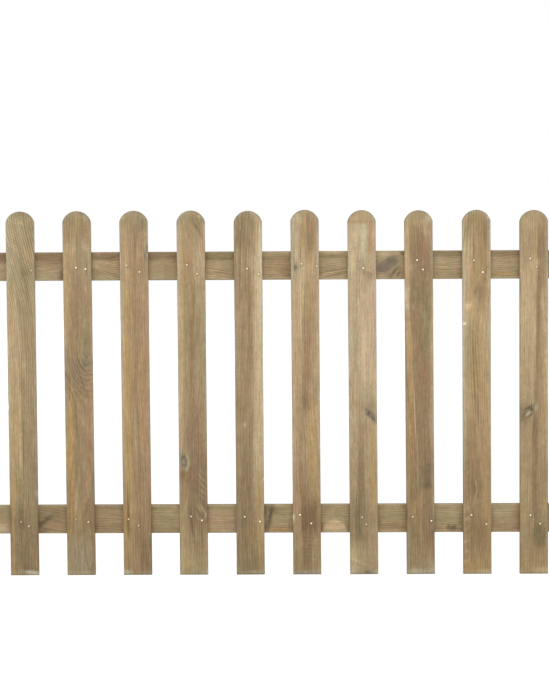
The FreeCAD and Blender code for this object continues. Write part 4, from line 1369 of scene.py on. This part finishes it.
def plated_steel():
    """Zinc-plated steel: a warm pale grey, as bright as each head's own shine."""
    material = new_finish("plated_steel")
    tree = material.node_tree
    place = node(tree, "ShaderNodeTexCoord").outputs["Object"]
    zinc = node(tree, "ShaderNodeTexVoronoi", {"Vector": place, "Scale": SPANGLE_SCALE})
    spangle = zinc.outputs["Distance"]
    # Each head's plating brightness is partly painted reflection and partly its own dulling.
    plated = ramp(tree, math_node(tree, "MULTIPLY", stored(tree, "shine"), SHINE_SCALE), PLATING)
    flecked = multiplied(tree, plated, 1.0, ramp(tree, spangle, SPANGLE_TONES))
    rough = node(tree, "ShaderNodeMapRange", {"Value": spangle, **STEEL_ROUGH}).outputs[0]
    bump = node(tree, "ShaderNodeBump", {"Height": spangle, **STEEL_BUMP}).outputs[0]
    shader = node(tree, "ShaderNodeBsdfPrincipled", {
        "Base Color": flecked, "Roughness": rough, "Metallic": 1.0, "Normal": bump})
    node(tree, "ShaderNodeOutputMaterial", {"Surface": shader.outputs[0]})
    return material


def add_nail(bm, shine_layer, place, shine, draw):
    """One nail head: a short disc with a rounded edge, facing out of the front."""
    tilt = Matrix.Rotation(math.radians(draw.normal() * NAIL_TILT), 4, "Z")
    lean = Matrix.Rotation(math.radians(90 + draw.normal() * NAIL_TILT), 4, "X")
    head = bmesh.ops.create_cone(
        bm, cap_ends=True, segments=HEAD_SIDES, radius1=HEAD_RADIUS * MM, radius2=HEAD_RADIUS * MM,
        depth=HEAD_TALL * MM, matrix=Matrix.Translation(place) @ tilt @ lean)
    for vert in head["verts"]:
        vert[shine_layer] = shine
    caps = {face for vert in head["verts"] for face in vert.link_faces if len(face.verts) == HEAD_SIDES}
    rim = list({edge for cap in caps for edge in cap.edges})
    bmesh.ops.bevel(bm, geom=rim, offset=HEAD_EDGE * MM, affect="EDGES", segments=HEAD_EDGE_STEPS,
                    profile=0.5, material=-1)


def make_nails(name, rail, row, steel):
    """All the nails along one rail, as one piece."""
    draw = np.random.default_rng(NAIL_SEEDS[row])
    bm = bmesh.new()
    shine_layer = bm.verts.layers.float.new("shine")
    for picket, plan in PICKETS.items():
        low, high = (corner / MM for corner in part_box(picket))
        for nail_across, up, shine in plan[row]:
            across, along = stand(nail_across, rail_middle(rail) - low.z + up, plan, high.z - low.z)
            sunk = low.y + HEAD_TALL / 2 - HEAD_PROUD
            place = Vector(((low.x + high.x) / 2 + across, sunk, low.z + along)) * MM
            add_nail(bm, shine_layer, place, shine, draw)
    mesh = mesh_from(bm, name)
    shade(mesh)
    mesh.materials.append(steel)
    nails = set_out(name, mesh)
    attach(nails, "root")


STEEL = plated_steel()
for nail_row, nailed_rail in NAILED_TO.items():
    make_nails(nailed_rail + "_nails", nailed_rail, nail_row, STEEL)

# The stage: a plain white floor just under the feet, and even white light from all round.
# One broad, soft lamp in front, above and a little to the right, gives the boards their shading.
FLOOR_DROP = 0.0005
FLOOR_REACH = 40.0
FLOOR_WHITE = 0.8
FLOOR_GLOW = 0.86
FLOOR_SHADE = 0.3
ROOM_LIGHT = 0.66
BACKDROP_WHITE = 1.0
LAMP_STRENGTH = 1.25
LAMP_SPREAD = 70.0
LAMP_ABOVE = 38.0
LAMP_ASIDE = 10.0


def seen_directly(tree):
    """1 for what the camera sees by itself, in a mirror or through glass, and 0 for light on the object."""
    path = node(tree, "ShaderNodeLightPath").outputs
    both = math_node(tree, "MAXIMUM", path["Is Camera Ray"], path["Is Glossy Ray"])
    return math_node(tree, "MAXIMUM", both, path["Is Transmission Ray"])


world = bpy.data.worlds.new("white_room")
bpy.context.scene.world = world
world.use_nodes = True
room_tree = world.node_tree
room_tree.nodes.clear()
strength = node(room_tree, "ShaderNodeMapRange", {
    "Value": seen_directly(room_tree), "To Min": ROOM_LIGHT, "To Max": BACKDROP_WHITE})
room = node(room_tree, "ShaderNodeBackground", {"Color": grey(1), "Strength": strength.outputs[0]})
node(room_tree, "ShaderNodeOutputWorld", {"Surface": room.outputs[0]})

floor_paint = new_finish("white_floor")
floor_tree = floor_paint.node_tree
lit = node(floor_tree, "ShaderNodeBsdfDiffuse", {"Color": grey(FLOOR_WHITE)})
shaded = node(floor_tree, "ShaderNodeBsdfDiffuse", {"Color": grey(FLOOR_SHADE)})
glow = node(floor_tree, "ShaderNodeEmission", {"Color": grey(1), "Strength": FLOOR_GLOW})
shown_floor = node(floor_tree, "ShaderNodeAddShader", {0: glow.outputs[0], 1: shaded.outputs[0]})
floor_mix = node(floor_tree, "ShaderNodeMixShader", {
    0: seen_directly(floor_tree), 1: lit.outputs[0], 2: shown_floor.outputs[0]})
node(floor_tree, "ShaderNodeOutputMaterial", {"Surface": floor_mix.outputs[0]})
floor_bm = bmesh.new()
bmesh.ops.create_grid(floor_bm, x_segments=1, y_segments=1, size=FLOOR_REACH,
                      matrix=Matrix.Translation((0, 0, cad_box[0][2] - FLOOR_DROP)))
floor_mesh = mesh_from(floor_bm, "floor")
floor_mesh.materials.append(floor_paint)
floor = set_out("floor", floor_mesh)

lamp_data = bpy.data.lights.new("front_lamp", "SUN")
lamp_data.energy = LAMP_STRENGTH
lamp_data.angle = math.radians(LAMP_SPREAD)
lamp = set_out("front_lamp", lamp_data)
lamp.rotation_euler = (math.radians(90 - LAMP_ABOVE), 0, math.radians(LAMP_ASIDE))

# The camera: five metres in front, a little below the upper rail and just right of the middle.
# It looks slightly down and is a trace out of level, as in the photo.
CAMERA_PLACE = Vector((0.0358, -5.046, 0.7336))
CAMERA_DOWN = 2.246
CAMERA_LEFT = 0.515
CAMERA_ROLL = -0.271
CAMERA_LENS = 81.60
CAMERA_SENSOR = 36.0
camera_data = bpy.data.cameras.new("camera")
camera_data.lens = CAMERA_LENS
camera_data.sensor_width = CAMERA_SENSOR
camera = set_out("camera", camera_data)
camera.matrix_world = (
    Matrix.Translation(CAMERA_PLACE)
    @ Matrix.Rotation(math.radians(CAMERA_LEFT), 4, "Z")
    @ Matrix.Rotation(math.radians(90 - CAMERA_DOWN), 4, "X")
    @ Matrix.Rotation(math.radians(CAMERA_ROLL), 4, "Z")
)
bpy.context.scene.camera = camera
bpy.context.scene.view_settings.view_transform = "Standard"
